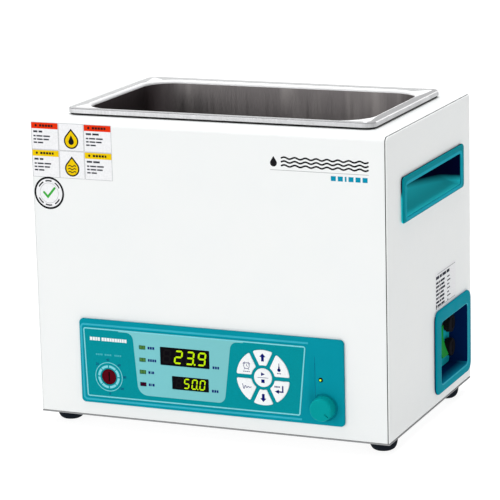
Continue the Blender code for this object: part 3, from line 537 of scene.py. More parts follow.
# ------------------------------------------------------------------ materials
class Surface:
    """Principled material whose colour, roughness and relief vary by noise in object space."""

    def __init__(self, name, colour, roughness, **sockets):
        self.material = bpy.data.materials.new(name)
        self.material.use_nodes = True
        self.nodes = self.material.node_tree.nodes
        self.links = self.material.node_tree.links
        self.shader = self.nodes["Principled BSDF"]
        self.shader.inputs["Base Color"].default_value = (*colour, 1.0)
        self.shader.inputs["Roughness"].default_value = roughness
        for socket, value in sockets.items():
            self.shader.inputs[socket.replace("_", " ")].default_value = value
        self.colour = colour

    def coords(self, stretch):
        place = self.nodes.new("ShaderNodeTexCoord")
        mapping = self.nodes.new("ShaderNodeMapping")
        mapping.inputs["Scale"].default_value = stretch
        self.links.new(place.outputs["Object"], mapping.inputs["Vector"])
        return mapping.outputs["Vector"]

    def noise(self, size, stretch=(1.0, 1.0, 1.0), detail=2.0, rough=0.5):
        """Noise whose features are about size millimetres across, times the stretch."""
        texture = self.nodes.new("ShaderNodeTexNoise")
        texture.inputs["Scale"].default_value = 1.0
        texture.inputs["Detail"].default_value = detail
        texture.inputs["Roughness"].default_value = rough
        scales = [1.0 / (size * MM * factor) for factor in stretch]
        self.links.new(self.coords(scales), texture.inputs["Vector"])
        return texture.outputs["Fac"]

    def along(self, direction):
        """Distance along a direction from the origin, in millimetres."""
        product = self.nodes.new("ShaderNodeVectorMath")
        product.operation = "DOT_PRODUCT"
        product.inputs[1].default_value = [part / MM for part in direction]
        place = self.nodes.new("ShaderNodeTexCoord")
        self.links.new(place.outputs["Object"], product.inputs[0])
        return product.outputs["Value"]

    def cells(self, size):
        texture = self.nodes.new("ShaderNodeTexVoronoi")
        texture.inputs["Scale"].default_value = 1.0
        self.links.new(self.coords([1.0 / (size * MM)] * 3), texture.inputs["Vector"])
        return texture.outputs["Color"]

    def ramp(self, factor, low, high, out_low, out_high):
        node = self.nodes.new("ShaderNodeMapRange")
        node.inputs["From Min"].default_value = low
        node.inputs["From Max"].default_value = high
        node.inputs["To Min"].default_value = out_low
        node.inputs["To Max"].default_value = out_high
        self.links.new(factor, node.inputs["Value"])
        return node.outputs["Result"]

    def tint(self, factor, other, low=0.3, high=0.7):
        """Blends the colour into another one by a factor between two limits."""
        mix = self.nodes.new("ShaderNodeMix")
        mix.data_type = "RGBA"
        source = self.shader.inputs["Base Color"]
        if source.is_linked:
            self.links.new(source.links[0].from_socket, mix.inputs["A"])
        else:
            mix.inputs["A"].default_value = (*self.colour, 1.0)
        mix.inputs["B"].default_value = (*other, 1.0)
        self.links.new(self.ramp(factor, low, high, 0.0, 1.0), mix.inputs["Factor"])
        self.links.new(mix.outputs["Result"], source)
        return self

    def gloss(self, factor, out_low, out_high, low=0.3, high=0.7):
        """Lets the roughness run between two values."""
        self.links.new(self.ramp(factor, low, high, out_low, out_high),
                       self.shader.inputs["Roughness"])
        return self

    def relief(self, factor, rise, strength=1.0):
        """Bump of some height, in millimetres, on top of any bump that is there."""
        bump = self.nodes.new("ShaderNodeBump")
        bump.inputs["Strength"].default_value = strength
        bump.inputs["Distance"].default_value = rise * MM
        self.links.new(factor, bump.inputs["Height"])
        normal = self.shader.inputs["Normal"]
        if normal.is_linked:
            self.links.new(normal.links[0].from_socket, bump.inputs["Normal"])
        self.links.new(bump.outputs["Normal"], normal)
        return self


def srgb(red, green, blue):
    """Linear colour of an 8-bit screen colour."""
    linear = []
    for value in (red, green, blue):
        share = value / 255.0
        linear.append(share / 12.92 if share <= 0.04045 else ((share + 0.055) / 1.055) ** 2.4)
    return tuple(linear)


def moulded(name, colour, roughness, grain=0.35, rise=0.02, specular=DULL):
    """Moulded plastic with a fine spark-eroded grain and faint flow marks."""
    surface = Surface(name, colour, roughness, Specular_IOR_Level=specular)
    surface.tint(surface.noise(38.0, detail=3.0), tuple(c * 0.93 for c in colour))
    surface.gloss(surface.noise(12.0, detail=4.0), roughness - 0.05, roughness + 0.06)
    surface.relief(surface.noise(grain, detail=2.0), rise)
    return surface.material


def ink(name, colour, roughness=0.5):
    """Screen-printed ink: nearly flat, with a faint mottle."""
    surface = Surface(name, colour, roughness, Specular_IOR_Level=DULL)
    surface.tint(surface.noise(1.2, detail=3.0), tuple(c * 0.90 for c in colour))
    surface.relief(surface.noise(0.25), 0.004)
    return surface.material


def lamp(name, colour, glow, strength, roughness=0.3):
    """Tinted lens or segment that gives light."""
    surface = Surface(name, colour, roughness, Specular_IOR_Level=DULL, Emission_Color=(*glow, 1.0),
                      Emission_Strength=strength)
    surface.tint(surface.noise(0.8), tuple(c * 0.85 for c in colour))
    return surface.material


def painted_steel():
    """White powder coat: orange peel over a sheet that is not quite flat."""
    colour = (0.79, 0.805, 0.80)
    surface = Surface("powder_coat", colour, 0.36, Specular_IOR_Level=0.3)
    surface.tint(surface.noise(55.0, detail=3.0), (0.775, 0.795, 0.795))
    surface.gloss(surface.noise(9.0, detail=3.0), 0.33, 0.42)
    surface.relief(surface.noise(140.0, detail=1.0), 0.10)
    surface.relief(surface.noise(2.2, detail=2.0), 0.018)
    return surface.material


def brushed_steel(name, colour, stretch, roughness=0.26, rise=0.004, worn=0.0):
    """Stainless sheet with long fine brush strokes and soft handling marks."""
    surface = Surface(name, colour, roughness, Metallic=1.0)
    strokes = surface.noise(0.5, stretch=stretch, detail=4.0, rough=0.65)
    surface.tint(strokes, tuple(c * 0.80 for c in colour))
    surface.tint(surface.noise(60.0, detail=2.0), tuple(c * (0.9 - worn) for c in colour))
    surface.gloss(strokes, roughness - 0.06, roughness + 0.10)
    surface.relief(strokes, rise)
    return surface.material


def drawn_steel():
    """Tank wall: upright drawing marks over broad light and dark bands of painted reflection, with
    painted shade that makes it darkest at its left.
    """
    surface = Surface("drawn_tank", (0.27, 0.25, 0.252), 0.34, Metallic=1.0)
    strokes = surface.noise(0.5, stretch=(5.0, 5.0, 200.0), detail=4.0, rough=0.65)
    reflection_bands = surface.noise(26.0, stretch=(1.0, 1.0, 9.0), detail=2.0)
    surface.tint(strokes, (0.21, 0.195, 0.195))
    # painted reflection: broad upright bands of a lighter colour
    surface.tint(reflection_bands, (0.46, 0.43, 0.42), 0.50, 0.78)
    # painted shade: the wall darkens towards the tank's left end
    surface.tint(surface.along((-1.0, 0.0, 0.0)), (0.12, 0.10, 0.105), 112.0, 134.0)
    surface.gloss(strokes, 0.28, 0.44)
    surface.relief(strokes, 0.004)
    return surface.material


def make_materials():
    """Every finish by the name that the pieces ask for."""
    made = {
        "paint": painted_steel(),
        "rim": brushed_steel("brushed_rim", (0.88, 0.89, 0.895), (90.0, 1.0, 1.0)),
        # painted highlight: bright white for the rounded mouth edge and the right side's bend
        "rim_edge": moulded("rim_edge_painted_highlight", (0.90, 0.905, 0.91), 0.35, specular=0.5),
        # painted shade: darker steel for the lip and the outer band on the right
        "lip": brushed_steel("brushed_lip_painted_shade", (0.62, 0.62, 0.63), (3.0, 40.0, 40.0), 0.34, worn=0.14),
        # painted shade: dark line on the front's outer bend
        "rim_bend_painted_shade": moulded("rim_bend_painted_shade", (0.30, 0.30, 0.31), 0.4, specular=0.3),
        "tank": drawn_steel(),
        # painted shade: mid grey for the base plate, whose edge under the case reads as a dark
        # shadow line
        "base": moulded("base_painted_shade", (0.30, 0.305, 0.31), 0.6, 0.6, 0.02),
        # painted shade: near-black finish that darkens the seams at the side panels
        "seam_shade": moulded("seam_painted_shade", (0.07, 0.072, 0.075), 0.6, 0.6, 0.02),
        "gasket": moulded("gasket_rubber", (0.018, 0.018, 0.018), 0.62, 0.6, 0.03),
        "rubber": moulded("foot_rubber", (0.008, 0.011, 0.016), 0.62, 0.7, 0.04),
        "teal": moulded("teal_abs", srgb(2, 140, 157), 0.38),
        # painted shade: darker teal on the valley's steep flank
        "teal_valley_painted_shade": moulded("teal_valley_painted_shade", srgb(2, 112, 134), 0.38),
        "teal_knob": moulded("teal_knob", srgb(2, 148, 150), 0.38),
        "grip": moulded("teal_grip", srgb(3, 134, 146), 0.42, specular=FLAT),
        # painted light and painted shade inside the grips
        "grip_inside": grip_inside(),
        # painted highlight: lighter teal on the grips' mouth edges
        "grip_light": moulded("teal_grip_edge_painted_highlight", srgb(24, 158, 178), 0.42, specular=FLAT),
        # painted light: lighter teal for the power recess's floor, against the shade in the recess
        "grip_deep": moulded("teal_inside_painted_lighting", srgb(30, 188, 200), 0.42, specular=FLAT),
        "recess": moulded("teal_recess", srgb(6, 140, 158), 0.42, specular=FLAT),
        # painted shade: navy for the power recess's walls
        "recess_wall": moulded("teal_recess_wall_painted_shade", srgb(3, 34, 84), 0.42, specular=FLAT),
        # painted shade: navy on the power recess's lower wall, teal near its frame
        "recess_sill": recess_sill(),
        "overlay": ink("overlay_film", srgb(2, 139, 149), 0.42),
        "key": ink("key_film", (0.85, 0.87, 0.88), 0.40),
        "black": moulded("black_nylon", (0.012, 0.012, 0.014), 0.36, 0.3, 0.015),
        "window": moulded("display_filter", (0.003, 0.002, 0.004), 0.30, 0.5, 0.002),
        "dial": moulded("dial_plastic", srgb(86, 4, 18), 0.30, 0.5, 0.01),
        # painted shade: near-black floor of the dial's slot
        "dial_slot": moulded("dial_slot_painted_shade", (0.006, 0.002, 0.003), 0.5, 0.4, 0.01),
        "lens_green": lamp("green_lens", srgb(74, 124, 62), srgb(74, 124, 62), 0.05),
        "lens_red": lamp("red_lens", srgb(58, 0, 32), srgb(58, 0, 32), 0.02),
        "pilot": lamp("pilot_lens", srgb(190, 220, 60), srgb(190, 230, 30), 0.8),
        "lit": lamp("lit_segment", srgb(70, 84, 4), srgb(196, 234, 6), 0.95),
        "unlit": ink("unlit_segment", (0.007, 0.006, 0.007)),
        "rocker": lamp("rocker_green", srgb(22, 138, 56), srgb(12, 120, 40), 0.22, 0.25),
        "ink_light": light_field_ink(),
        # painted highlight: lighter teal for the rib on the panel and the power recess's mouth edge
        "teal_rib_painted_highlight": moulded("teal_rib_painted_highlight", srgb(52, 168, 188), 0.38),
        "label": ink("label_stock", (0.83, 0.835, 0.85), 0.35),
    }
    inks = {
        "ink_line": srgb(125, 208, 218),
        "ink_faint": srgb(66, 172, 184),
        "ink_navy": srgb(14, 20, 105),
        "ink_white": (0.82, 0.84, 0.86),
        "ink_black": (0.010, 0.010, 0.012),
        "ink_grey": srgb(178, 180, 182),
        "ink_dark_grey": srgb(58, 60, 68),
        "ink_print": srgb(44, 46, 58),
        "ink_red": srgb(226, 50, 12),
        "ink_yellow": srgb(232, 196, 8),
        "ink_green": srgb(70, 170, 70),
        "ink_teal": srgb(10, 140, 170),
    }
    made.update({name: ink(name, colour) for name, colour in inks.items()})
    made.update(make_inner_materials())
    return made


def graded(name, colour, roughness, specular, direction, other, start, end, grain, rise):
    """Moulding or ink whose colour fades into another one along a direction."""
    surface = Surface(name, colour, roughness, Specular_IOR_Level=specular)
    surface.tint(surface.along(direction), other, start, end)
    surface.relief(surface.noise(grain), rise)
    return surface.material


def recess_sill():
    """Lower wall of the power recess: painted shade makes it navy inside, fading to teal near its
    frame.
    """
    return graded("teal_recess_sill_painted_shade", srgb(3, 38, 88), 0.42, FLAT, (1.0, 0.0, 0.0),
                  srgb(14, 122, 152), HALF_WIDTH - 9.0, HALF_WIDTH, 0.35, 0.02)


def grip_inside():
    """Inside of a finger grip: painted light brightens the teal on its floor, and painted shade
    turns it nearly black up in its deep rear corner.
    """
    edge = height(209.6)
    # painted light lifts the floor's teal; painted shade fades it to near black above the edge
    return graded("teal_inside_painted_lighting", srgb(48, 218, 230), 0.42, FLAT, (0.0, 0.0975, 1.0),
                  srgb(3, 8, 44), edge - 3.5, edge + 2.0, 0.35, 0.02)


def light_field_ink():
    """Pale field of the overlay, a touch greener and darker to the right."""
    return graded("ink_light_field", srgb(117, 190, 196), 0.45, DULL, (1.0, 0.0, 0.0),
                  srgb(117, 186, 190), -70.0, 20.0, 0.25, 0.004)


def make_inner_materials():
    """Finishes of the parts inside the case, which keep their CAD shape.

    Each row is a key, a name, the colour and the one it is mottled with, the roughness, other
    sockets, the (size, stretch, detail) of the mottle and of the relief, and the relief's rise.
    """
    even, metal = (1.0, 1.0, 1.0), {"Metallic": 1.0}
    rows = (
        ("felt", "insulation_felt", (0.62, 0.58, 0.48), (0.50, 0.46, 0.38), 0.95,
         {"Sheen_Weight": 0.3}, (3.0, even, 6.0), (0.6, even, 5.0), 0.3),
        ("board", "board_mask", (0.02, 0.13, 0.05), (0.03, 0.20, 0.08), 0.35,
         {}, (2.0, (8.0, 1.0, 1.0), 2.0), (0.5, even, 2.0), 0.01),
        ("silicone", "heater_silicone", (0.38, 0.09, 0.03), (0.30, 0.06, 0.02), 0.65,
         {}, (1.5, even, 2.0), (0.8, (1.0, 1.0, 8.0), 2.0), 0.05),
        ("copper", "copper_tube", (0.60, 0.27, 0.13), (0.42, 0.18, 0.10), 0.32,
         metal, (6.0, even, 4.0), (0.5, even, 2.0), 0.005),
        ("iron", "laminated_iron", (0.20, 0.20, 0.21), (0.10, 0.09, 0.09), 0.5,
         metal, (0.5, (1.0, 1.0, 40.0), 2.0), (0.5, (40.0, 40.0, 1.0), 2.0), 0.05),
        ("fins", "extruded_aluminium", (0.72, 0.73, 0.74), (0.58, 0.59, 0.60), 0.35,
         metal, (0.5, (1.0, 60.0, 1.0), 2.0), (0.5, (1.0, 60.0, 1.0), 2.0), 0.01),
    )
    zinc = Surface("galvanised_sheet", (0.55, 0.57, 0.58), 0.42, **metal)
    zinc.tint(zinc.cells(7.0), (0.40, 0.42, 0.44), 0.1, 0.9)
    zinc.relief(zinc.noise(0.8), 0.01)
    made = {"zinc": zinc.material}
    for key, name, colour, other, roughness, sockets, mottle, relief, rise in rows:
        surface = Surface(name, colour, roughness, **sockets)
        surface.tint(surface.noise(*mottle), other)
        surface.relief(surface.noise(*relief), rise)
        made[key] = surface.material
    return made


FINISHES = make_materials()


# ------------------------------------------------------------------ case
def build_front_top():
    """One painted sheet that is the front and, past a rounded bend, the top."""
    centre = (CASE_FRONT + BEND_RADIUS, CASE_TOP - BEND_RADIUS)
    profile = [(CASE_FRONT, PANEL_BOTTOM)]
    profile += arc(centre, BEND_RADIUS, 180.0, 90.0, 18)
    profile += [(CASE_REAR, CASE_TOP), (CASE_REAR, CASE_TOP - SHEET)]
    profile += arc(centre, BEND_RADIUS - SHEET, 90.0, 180.0, 18)
    profile.append((CASE_FRONT + SHEET, PANEL_BOTTOM))
    shape = Shape().prism("X", profile, -SHEET_HALF - LEFT_REACH, SHEET_HALF)
    sheet = shape.piece("case_front_top", "paint", replaces="front_top_shell", slot="white_paint")
    carve(sheet, Shape().prism("Z", tank_outline(2.5, MOUTH_CORNER), CASE_TOP - 4, CASE_TOP + 4))
    # painted shade: the sheet's right-hand cut edge is darkened so its seam reads dark
    shade_depth(sheet, -1, -SHEET_HALF + 0.1, "seam_shade")
    panel_hole = bezel_outline(TRAY_INSET - 0.5)
    carve(sheet, Shape().prism("Y", panel_hole, CASE_FRONT - 4, CASE_FRONT + 4))
    round_edges(sheet, 0.4)


def louvres(half_x, rows, pitch, length, width, first):
    """Outlines of two banks of round-ended air slots, in x and the distance from first."""
    outlines = []
    for side in (-1, 1):
        for row in range(rows):
            centre = (side * half_x, first + row * pitch)
            outlines.append(rounded_rect(*around(centre, length / 2, width / 2), width * 0.49, 8))
    return outlines


def build_rear_panel():
    """Painted back sheet with air slots and its four screws."""
    low = (-SHEET_HALF, PANEL_BOTTOM)
    high = (SHEET_HALF, CASE_TOP - SHEET - GAP)
    shape = Shape().prism("Y", rounded_rect(low, high, 0.4, 2), CASE_REAR - SHEET, CASE_REAR)
    panel = shape.piece("case_rear", "paint", replaces="rear_panel", slot="white_paint")
    slots = [on_panel(outline) for outline in louvres(75.0, 6, 12.0, 70.0, 4.0, 32.0)]
    carve(panel, Shape().prisms("Y", slots, CASE_REAR - 3, CASE_REAR + 2))
    round_edges(panel, 0.25)
    for row_name in ("lower", "upper"):
        for side_name in ("left", "right"):
            build_pan_screw("rear_screw_%s_%s" % (row_name, side_name))


def build_pan_screw(node):
    """Pan-head screw with a cross recess, seen from behind the case."""
    low, high = box_mm(node)
    centre = ((low.x + high.x) / 2, (low.z + high.z) / 2)
    seat = CASE_REAR + GAP
    crown = high.y
    brim = seat + 0.3
    profile = [(SCREW_RADIUS, low.y), (SCREW_RADIUS, seat), (SCREW_HEAD_RADIUS, seat),
               (SCREW_HEAD_RADIUS, brim)]
    profile += [(SCREW_HEAD_RADIUS - 2.0 * (1 - cosine), brim + (crown - brim) * sine)
                for cosine, sine in quarter(8)[1:]]
    head = Shape().turned("Y", centre, profile, 32)
    screw = head.piece(node + "_head", "zinc", replaces=node, slot="galvanised_steel")
    for half_x, half_z in (SLOT_HALF, reversed(SLOT_HALF)):
        outline = square_rect(*around(centre, half_x, half_z))
        carve(screw, Shape().prism("Y", outline, crown - 1.0, crown + 1.0))


def side_outline(inset):
    """A side panel's outline, rounded where the front sheet bends into the top."""
    low = (CASE_FRONT + inset, PANEL_BOTTOM + inset)
    high = (CASE_REAR - inset, CASE_TOP - TOP_STEP - inset)
    radii = [max(radius - inset, 0.3) for radius in (1.0, 1.0, 1.5, BEND_RADIUS)]
    return rounded_polygon(square_rect(low, high), radii, 14)


def build_side_panel(side_name, side):
    """Pan-shaped side sheet with rounded outer edges and a lip that reaches inside the case."""
    stations = edge_arc(SIDE_INNER, HALF_WIDTH, SIDE_EDGE, 7)
    stations += [(SIDE_INNER, 0.0), (SIDE_INNER, LIP_INSET), (SIDE_INNER - LIP_REACH, LIP_INSET),
                 (SIDE_INNER - LIP_REACH, LIP_INSET + SHEET), (SIDE_INNER, LIP_INSET + SHEET)]
    stations = [(side * level, inset) for level, inset in stations]
    panel = Shape().stack("X", stations, side_outline).piece(
        "case_side_" + side_name, "paint", replaces="side_panel_" + side_name, slot="white_paint")
    low, high = GRIP_MOUTH
    holes = [on_side(rounded_rect((low[0] - 3.0, low[1] - 2.6), (high[0] + 3.0, high[1] + 5.4),
                                  3.0))]
    if side > 0:
        holes.append(on_side(rounded_rect(*grown(POWER_MOUTH, 3.0), POWER_MOUTH_CORNER)))
    levels = sorted((side * (SIDE_INNER - 2.0), side * (HALF_WIDTH + 2.0)))
    carve(panel, Shape().prisms("X", holes, *levels))
    # painted shade: the right panel's lip and inner faces are darkened so its seam reads dark
    if side > 0:
        shade_depth(panel, side, SIDE_INNER + 0.2, "seam_shade")


def shade_depth(piece, side, level, finish):
    """Gives the faces that lie deeper in a side than a level a second finish."""
    add_finishes(piece, finish)
    for face in piece.data.polygons:
        if side * face.center.x < level * MM:
            face.material_index = 1


def paint_mouth_highlight(piece, side, mouth, index):
    """Gives the rounded edge round a recess's mouth its lighter finish, a painted highlight."""
    low, high = grown(mouth, 0.85)
    for face in piece.data.polygons:
        x, y, z = (value / MM for value in face.center)
        in_mouth = depth(low[0]) < y < depth(high[0]) and height(low[1]) < z < height(high[1])
        if in_mouth and side * x > HALF_WIDTH + 1.0:
            face.material_index = index


def build_grip(side_name, side):
    """Moulded finger grip: a proud frame, a mouth, and a floor that curves up to a deep pocket."""
    low, high = GRIP_MOUTH
    face = HALF_WIDTH + FRAME_PROUD
    pocket = smoothed((
        (face - 0.8, 0.0, 0.0, 0.0),
        (face - 6.5, 1.0, 1.0, 1.0),
        (face - 14.5, 3.0, 4.5, 2.5),
        (face - 21.5, 6.0, 10.5, 3.0),
        (face - 26.0, 10.0, 18.0, 2.5),
    ), 6)

    def pocket_ring(station, wall, back):
        level, end_inset, floor_rise, top_rise = station
        mouth = ((low[0] + end_inset - wall, low[1] + floor_rise - wall),
                 (high[0] - end_inset + wall, high[1] + top_rise + wall))
        return ring("X", on_side(rounded_rect(*mouth, 3.0 + wall * 0.5)), side * (level - back))

    rings = [pocket_ring(pocket[-1], GRIP_WALL, GRIP_WALL)]
    rings += [pocket_ring(station, GRIP_WALL, 0.0) for station in reversed(pocket[6:-4])]
    rings.append(pocket_ring((HALF_WIDTH + GAP, 0.0, 0.0, 1.0), GRIP_WALL, 0.0))
    frame_edge = [(HALF_WIDTH + GAP, 0.0), *reversed(edge_arc(HALF_WIDTH, face, 1.2))]
    for level, inset in frame_edge:
        outline = rounded_rect(*grown(GRIP_FRAME, -inset), 4.0 - inset)
        rings.append(ring("X", on_side(outline), side * level))
    for level, inset in [(face, 3.0), *edge_arc(HALF_WIDTH, face, 0.8)]:
        outline = rounded_rect(*grown(GRIP_MOUTH, inset), 3.0 + inset)
        rings.append(ring("X", on_side(outline), side * level))
    rings += [pocket_ring(station, 0.0, 0.0) for station in pocket[1:]]
    node = "grip_recess_" + side_name
    grip = Shape().skin(rings).piece("grip_" + side_name, "grip", replaces=node,
                                     slot="teal_plastic")
    # painted light on the grip's floor and painted shade in its deep rear corner
    shade_depth(grip, side, HALF_WIDTH + 1.0, "grip_inside")
    # painted highlight on the rounded edge of the grip's mouth
    add_finishes(grip, "grip_light")
    paint_mouth_highlight(grip, side, grown(GRIP_MOUTH, 2.2), 2)


def build_feet():
    """Bowl-shaped rubber feet, each on a screw through the base plate."""
    for side_name in ("left", "right"):
        for row_name in ("front", "rear"):
            node = "foot_%s_%s" % (row_name, side_name)
            centre, half = span_mm(node)
            low, high = box_mm(node)
            bowl = smoothed(((8.2, low.z), (10.2, 1.4), (11.8, 4.2), (12.6, 8.0),
                             (half.x, high.z - 0.4)), 5)
            profile = [*bowl, (half.x, high.z), (2.4, high.z), (2.4, 6.0), (4.6, 6.0),
                       (4.6, low.z + 0.3), (4.9, low.z)]
            Shape().turned("Z", centre.xy, profile, 64, closed=True).piece(
                node + "_rubber", "rubber", replaces=node, slot="black_rubber")
            screw = "foot_screw_%s_%s" % (row_name, side_name)
            top = box_mm(screw)[1].z
            steel = ((3.6, 3.3), (4.0, 3.6), (4.0, 5.7), (2.0, 5.7), (2.0, top))
            Shape().turned("Z", centre.xy, steel, 32).piece(
                screw + "_steel", "zinc", replaces=screw, slot="galvanised_steel")


# ------------------------------------------------------------------ tank
def tank_outline(growth, corner):
    """The tank's mouth, grown outwards by an amount."""
    centre = (0.0, TANK_Y)
    return rounded_rect(*around(centre, MOUTH_HALF[0] + growth, MOUTH_HALF[1] + growth), corner, 18)


def flange_outline(inset):
    """The flange is narrower in front of the mouth than behind it."""
    low = (inset - MOUTH_HALF[0] - FLANGE_SIDE, TANK_Y - MOUTH_HALF[1] - FLANGE_FRONT + inset)
    high = (MOUTH_HALF[0] + FLANGE_SIDE - inset, TANK_Y + MOUTH_HALF[1] + FLANGE_REAR - inset)
    return rounded_rect(low, high, FLANGE_CORNER - inset, 18)


def tank_wall(offset):
    """Rings up the tank's wall, from the floor to the flange, at an offset outside it."""
    floor_radius, edge_radius = TANK_FILLET + offset, MOUTH_EDGE - offset
    stations = [(floor_radius * sine - TANK_TAPER - TANK_FILLET,
                 TANK_FLOOR + TANK_FILLET - floor_radius * cosine)
                for cosine, sine in quarter(8)]
    stations += [(MOUTH_EDGE - edge_radius * cosine, RIM_TOP - MOUTH_EDGE + edge_radius * sine)
                 for cosine, sine in quarter(8)]
    return [ring("Z", tank_outline(growth, MOUTH_CORNER + growth), z) for growth, z in stations]


def shade_rim(faces):
    """Gives the flange its brushed finish, painted highlights on its mouth edge and right edge, and
    painted shade on its lip, its right band and, as a dark line, its front bend.
    """
    # the mouth edge and the right's outer bend and inner band get a painted highlight; the lip, the
    # right's outer band and the front's outer bend get painted shade
    wall, brushed, painted_highlight, lip, line = range(5)
    for face in faces:
        x, y, z = (value / MM for value in face.center)
        outside = max(abs(x) - MOUTH_HALF[0], abs(y - TANK_Y) - MOUTH_HALF[1])
        in_bend = 0.3 < face.normal.z < 0.97
        finish = brushed
        if outside < MOUTH_EDGE + 0.2:
            finish = painted_highlight if z > RIM_TOP - MOUTH_EDGE else wall
        # painted shade: a dark line along the front's outer bend
        elif in_bend and y < TANK_Y - MOUTH_HALF[1]:
            finish = line
        elif in_bend and x > MOUTH_HALF[0]:
            finish = painted_highlight
        elif abs(face.normal.z) < 0.97:
            finish = lip
        elif x > MOUTH_HALF[0]:
            finish = painted_highlight if outside < MOUTH_EDGE + 1.5 else lip
        face.material_index = finish


def build_tank():
    """Drawn tank whose flange turns down into a lip round the hole in the case's top."""
    rings = tank_wall(0.0)
    flange = [(FLANGE_SIDE - BAND_WIDTH, RIM_TOP)]
    flange += [(FLANGE_EDGE * (1 - sine), RIM_TOP - FLANGE_EDGE * (1 - cosine))
               for cosine, sine in quarter(6)]
    flange += [(0.0, LIP_BOTTOM), (TANK_SHEET, LIP_BOTTOM), (TANK_SHEET, RIM_TOP - TANK_SHEET)]
    rings += [ring("Z", flange_outline(inset), z) for inset, z in flange]
    rings += reversed(tank_wall(TANK_SHEET))
    tank = Shape().skin(rings).piece("tank_shell", "tank", replaces="tank", slot="stainless_steel")
    add_finishes(tank, "rim", "rim_edge", "lip", "rim_bend_painted_shade")
    shade_rim(tank.data.polygons)
    low, high = box_mm("rim_gasket")
    stations = ((low.z, 4.4), (high.z, 4.4), (high.z, 1.3), (low.z, 1.3))
    Shape().stack("Z", stations, flange_outline, closed=True).piece(
        "tank_gasket", "gasket", replaces="rim_gasket", slot="black_rubber")


# ------------------------------------------------------------------ control panel
def bezel_outline(inset):
    """The panel moulding's outline, drawn in by an inset, in world x and z."""
    low = (BEZEL_LEFT + inset, BEZEL_LOW + inset)
    high = (BEZEL_RIGHT - inset, BEZEL_HIGH - inset)
    return on_panel(rounded_rect(low, high, max(BEZEL_CORNER - inset, 1.5), 10))


def key_outline(span, growth, corner=1.1):
    """Keypad sector between two webs, with rounded corners; growth pushes its sides outwards."""
    outer = KEYPAD_OUTER + growth
    inner = KEYPAD_INNER - growth
    half_web = KEYPAD_HALF_WEB - growth
    outer_lean = math.degrees(math.asin(half_web / outer))
    inner_lean = math.degrees(math.asin(half_web / inner))
    start, end = span
    outer_steps = 9
    points = arc(KEYPAD_CENTRE, outer, start + outer_lean, end - outer_lean, outer_steps)
    points += arc(KEYPAD_CENTRE, inner, end - inner_lean, start + inner_lean, 4)
    radii = [0.0] * len(points)
    for index in (0, outer_steps, outer_steps + 1, len(points) - 1):
        radii[index] = corner + growth
    return rounded_polygon(points, radii, 5)


def overlay_outline(growth):
    """The overlay's outline, with each corner moved out from the overlay's middle."""
    middle = (-17.0, 52.0)
    corners = [(x + growth * math.copysign(1.0, x - middle[0]),
                z + growth * math.copysign(1.0, z - middle[1])) for x, z in OVERLAY_CORNERS]
    return rounded_polygon(corners, [max(OVERLAY_RADIUS + growth, 0.5)] * 4, 8)


def window_outlines(growth):
    """Openings for the displays and the indicators."""
    outlines = []
    for node in ("display_measured", "display_set"):
        centre, half = panel_span(node)
        outlines.append(rounded_rect(*around(centre, half[0] + growth, half[1] + growth), 0.8, 4))
    for number in (1, 2, 3, 4):
        centre = panel_span("indicator_%d" % number)[0]
        outlines.append(rounded_rect(*around(centre, LENS_HALF[0] + growth, LENS_HALF[1] + growth),
                                     0.4, 4))
    return outlines


def panel_openings(growth):
    """Openings for the displays, the indicators, the keys and the limit dial."""
    outlines = window_outlines(growth)
    outlines += [key_outline(span, growth / 2) for span in KEYS.values()]
    outlines.append(circle(KEYPAD_CENTRE, CENTRE_KEY_RADIUS + growth / 2, 64))
    outlines.append(circle(DIAL_CENTRE, DIAL_RADIUS + growth, 64))
    return outlines


def build_bezel():
    """Panel moulding: a proud plate with a tray behind it that passes through the front sheet."""
    stations = edge_arc(0.0, BEZEL_FACE, 1.0, 7)
    stations += [(-GAP, 0.0), (-GAP, TRAY_INSET), (TRAY_BACK, TRAY_INSET),
                 (TRAY_BACK, TRAY_INSET + TRAY_WALL), (-GAP, TRAY_INSET + TRAY_WALL)]
    stations = [(depth(level), inset) for level, inset in stations]
    bezel = Shape().stack("Y", stations, bezel_outline).piece(
        "panel_bezel", "teal", replaces="bezel", slot="teal_plastic")
    carve(bezel, Shape().prism("Y", on_panel(overlay_outline(0.2)), depth(BEZEL_FACE - 2.0),
                               depth(BEZEL_FACE + 0.8)))
    openings = [on_panel(outline) for outline in panel_openings(OPENING_GAP)]
    openings.append(on_panel(circle(PILOT_CENTRE, PILOT_RADIUS + OPENING_GAP, 32)))
    openings.append(on_panel(circle(KNOB_CENTRE, 4.6, 32)))
    carve(bezel, Shape().prisms("Y", openings, depth(BEZEL_FACE - 3.0), depth(1.0)))
    dish = ((12.6, BEZEL_FACE - 1.0), (12.6, BEZEL_FACE - 0.05), (12.3, BEZEL_FACE + 0.25),
            (11.8, BEZEL_FACE + 0.55))
    centre = panel_point(KNOB_CENTRE)
    carve(bezel, Shape().turned("Y", centre, [(r, depth(y)) for r, y in dish], 64))
    carve(bezel, valley_shape(), math.radians(16))
    # painted shade: the valley's steep flank gets a darker teal
    add_finishes(bezel, "teal_valley_painted_shade")
    for face in bezel.data.polygons:
        in_valley = VALLEY_BOTTOM - 1.0 < face.center.x / MM < VALLEY_RIGHT + 0.5
        if in_valley and face.normal.x < -0.3 and face.normal.y < -0.1:
            face.material_index = 1
    build_step_line()


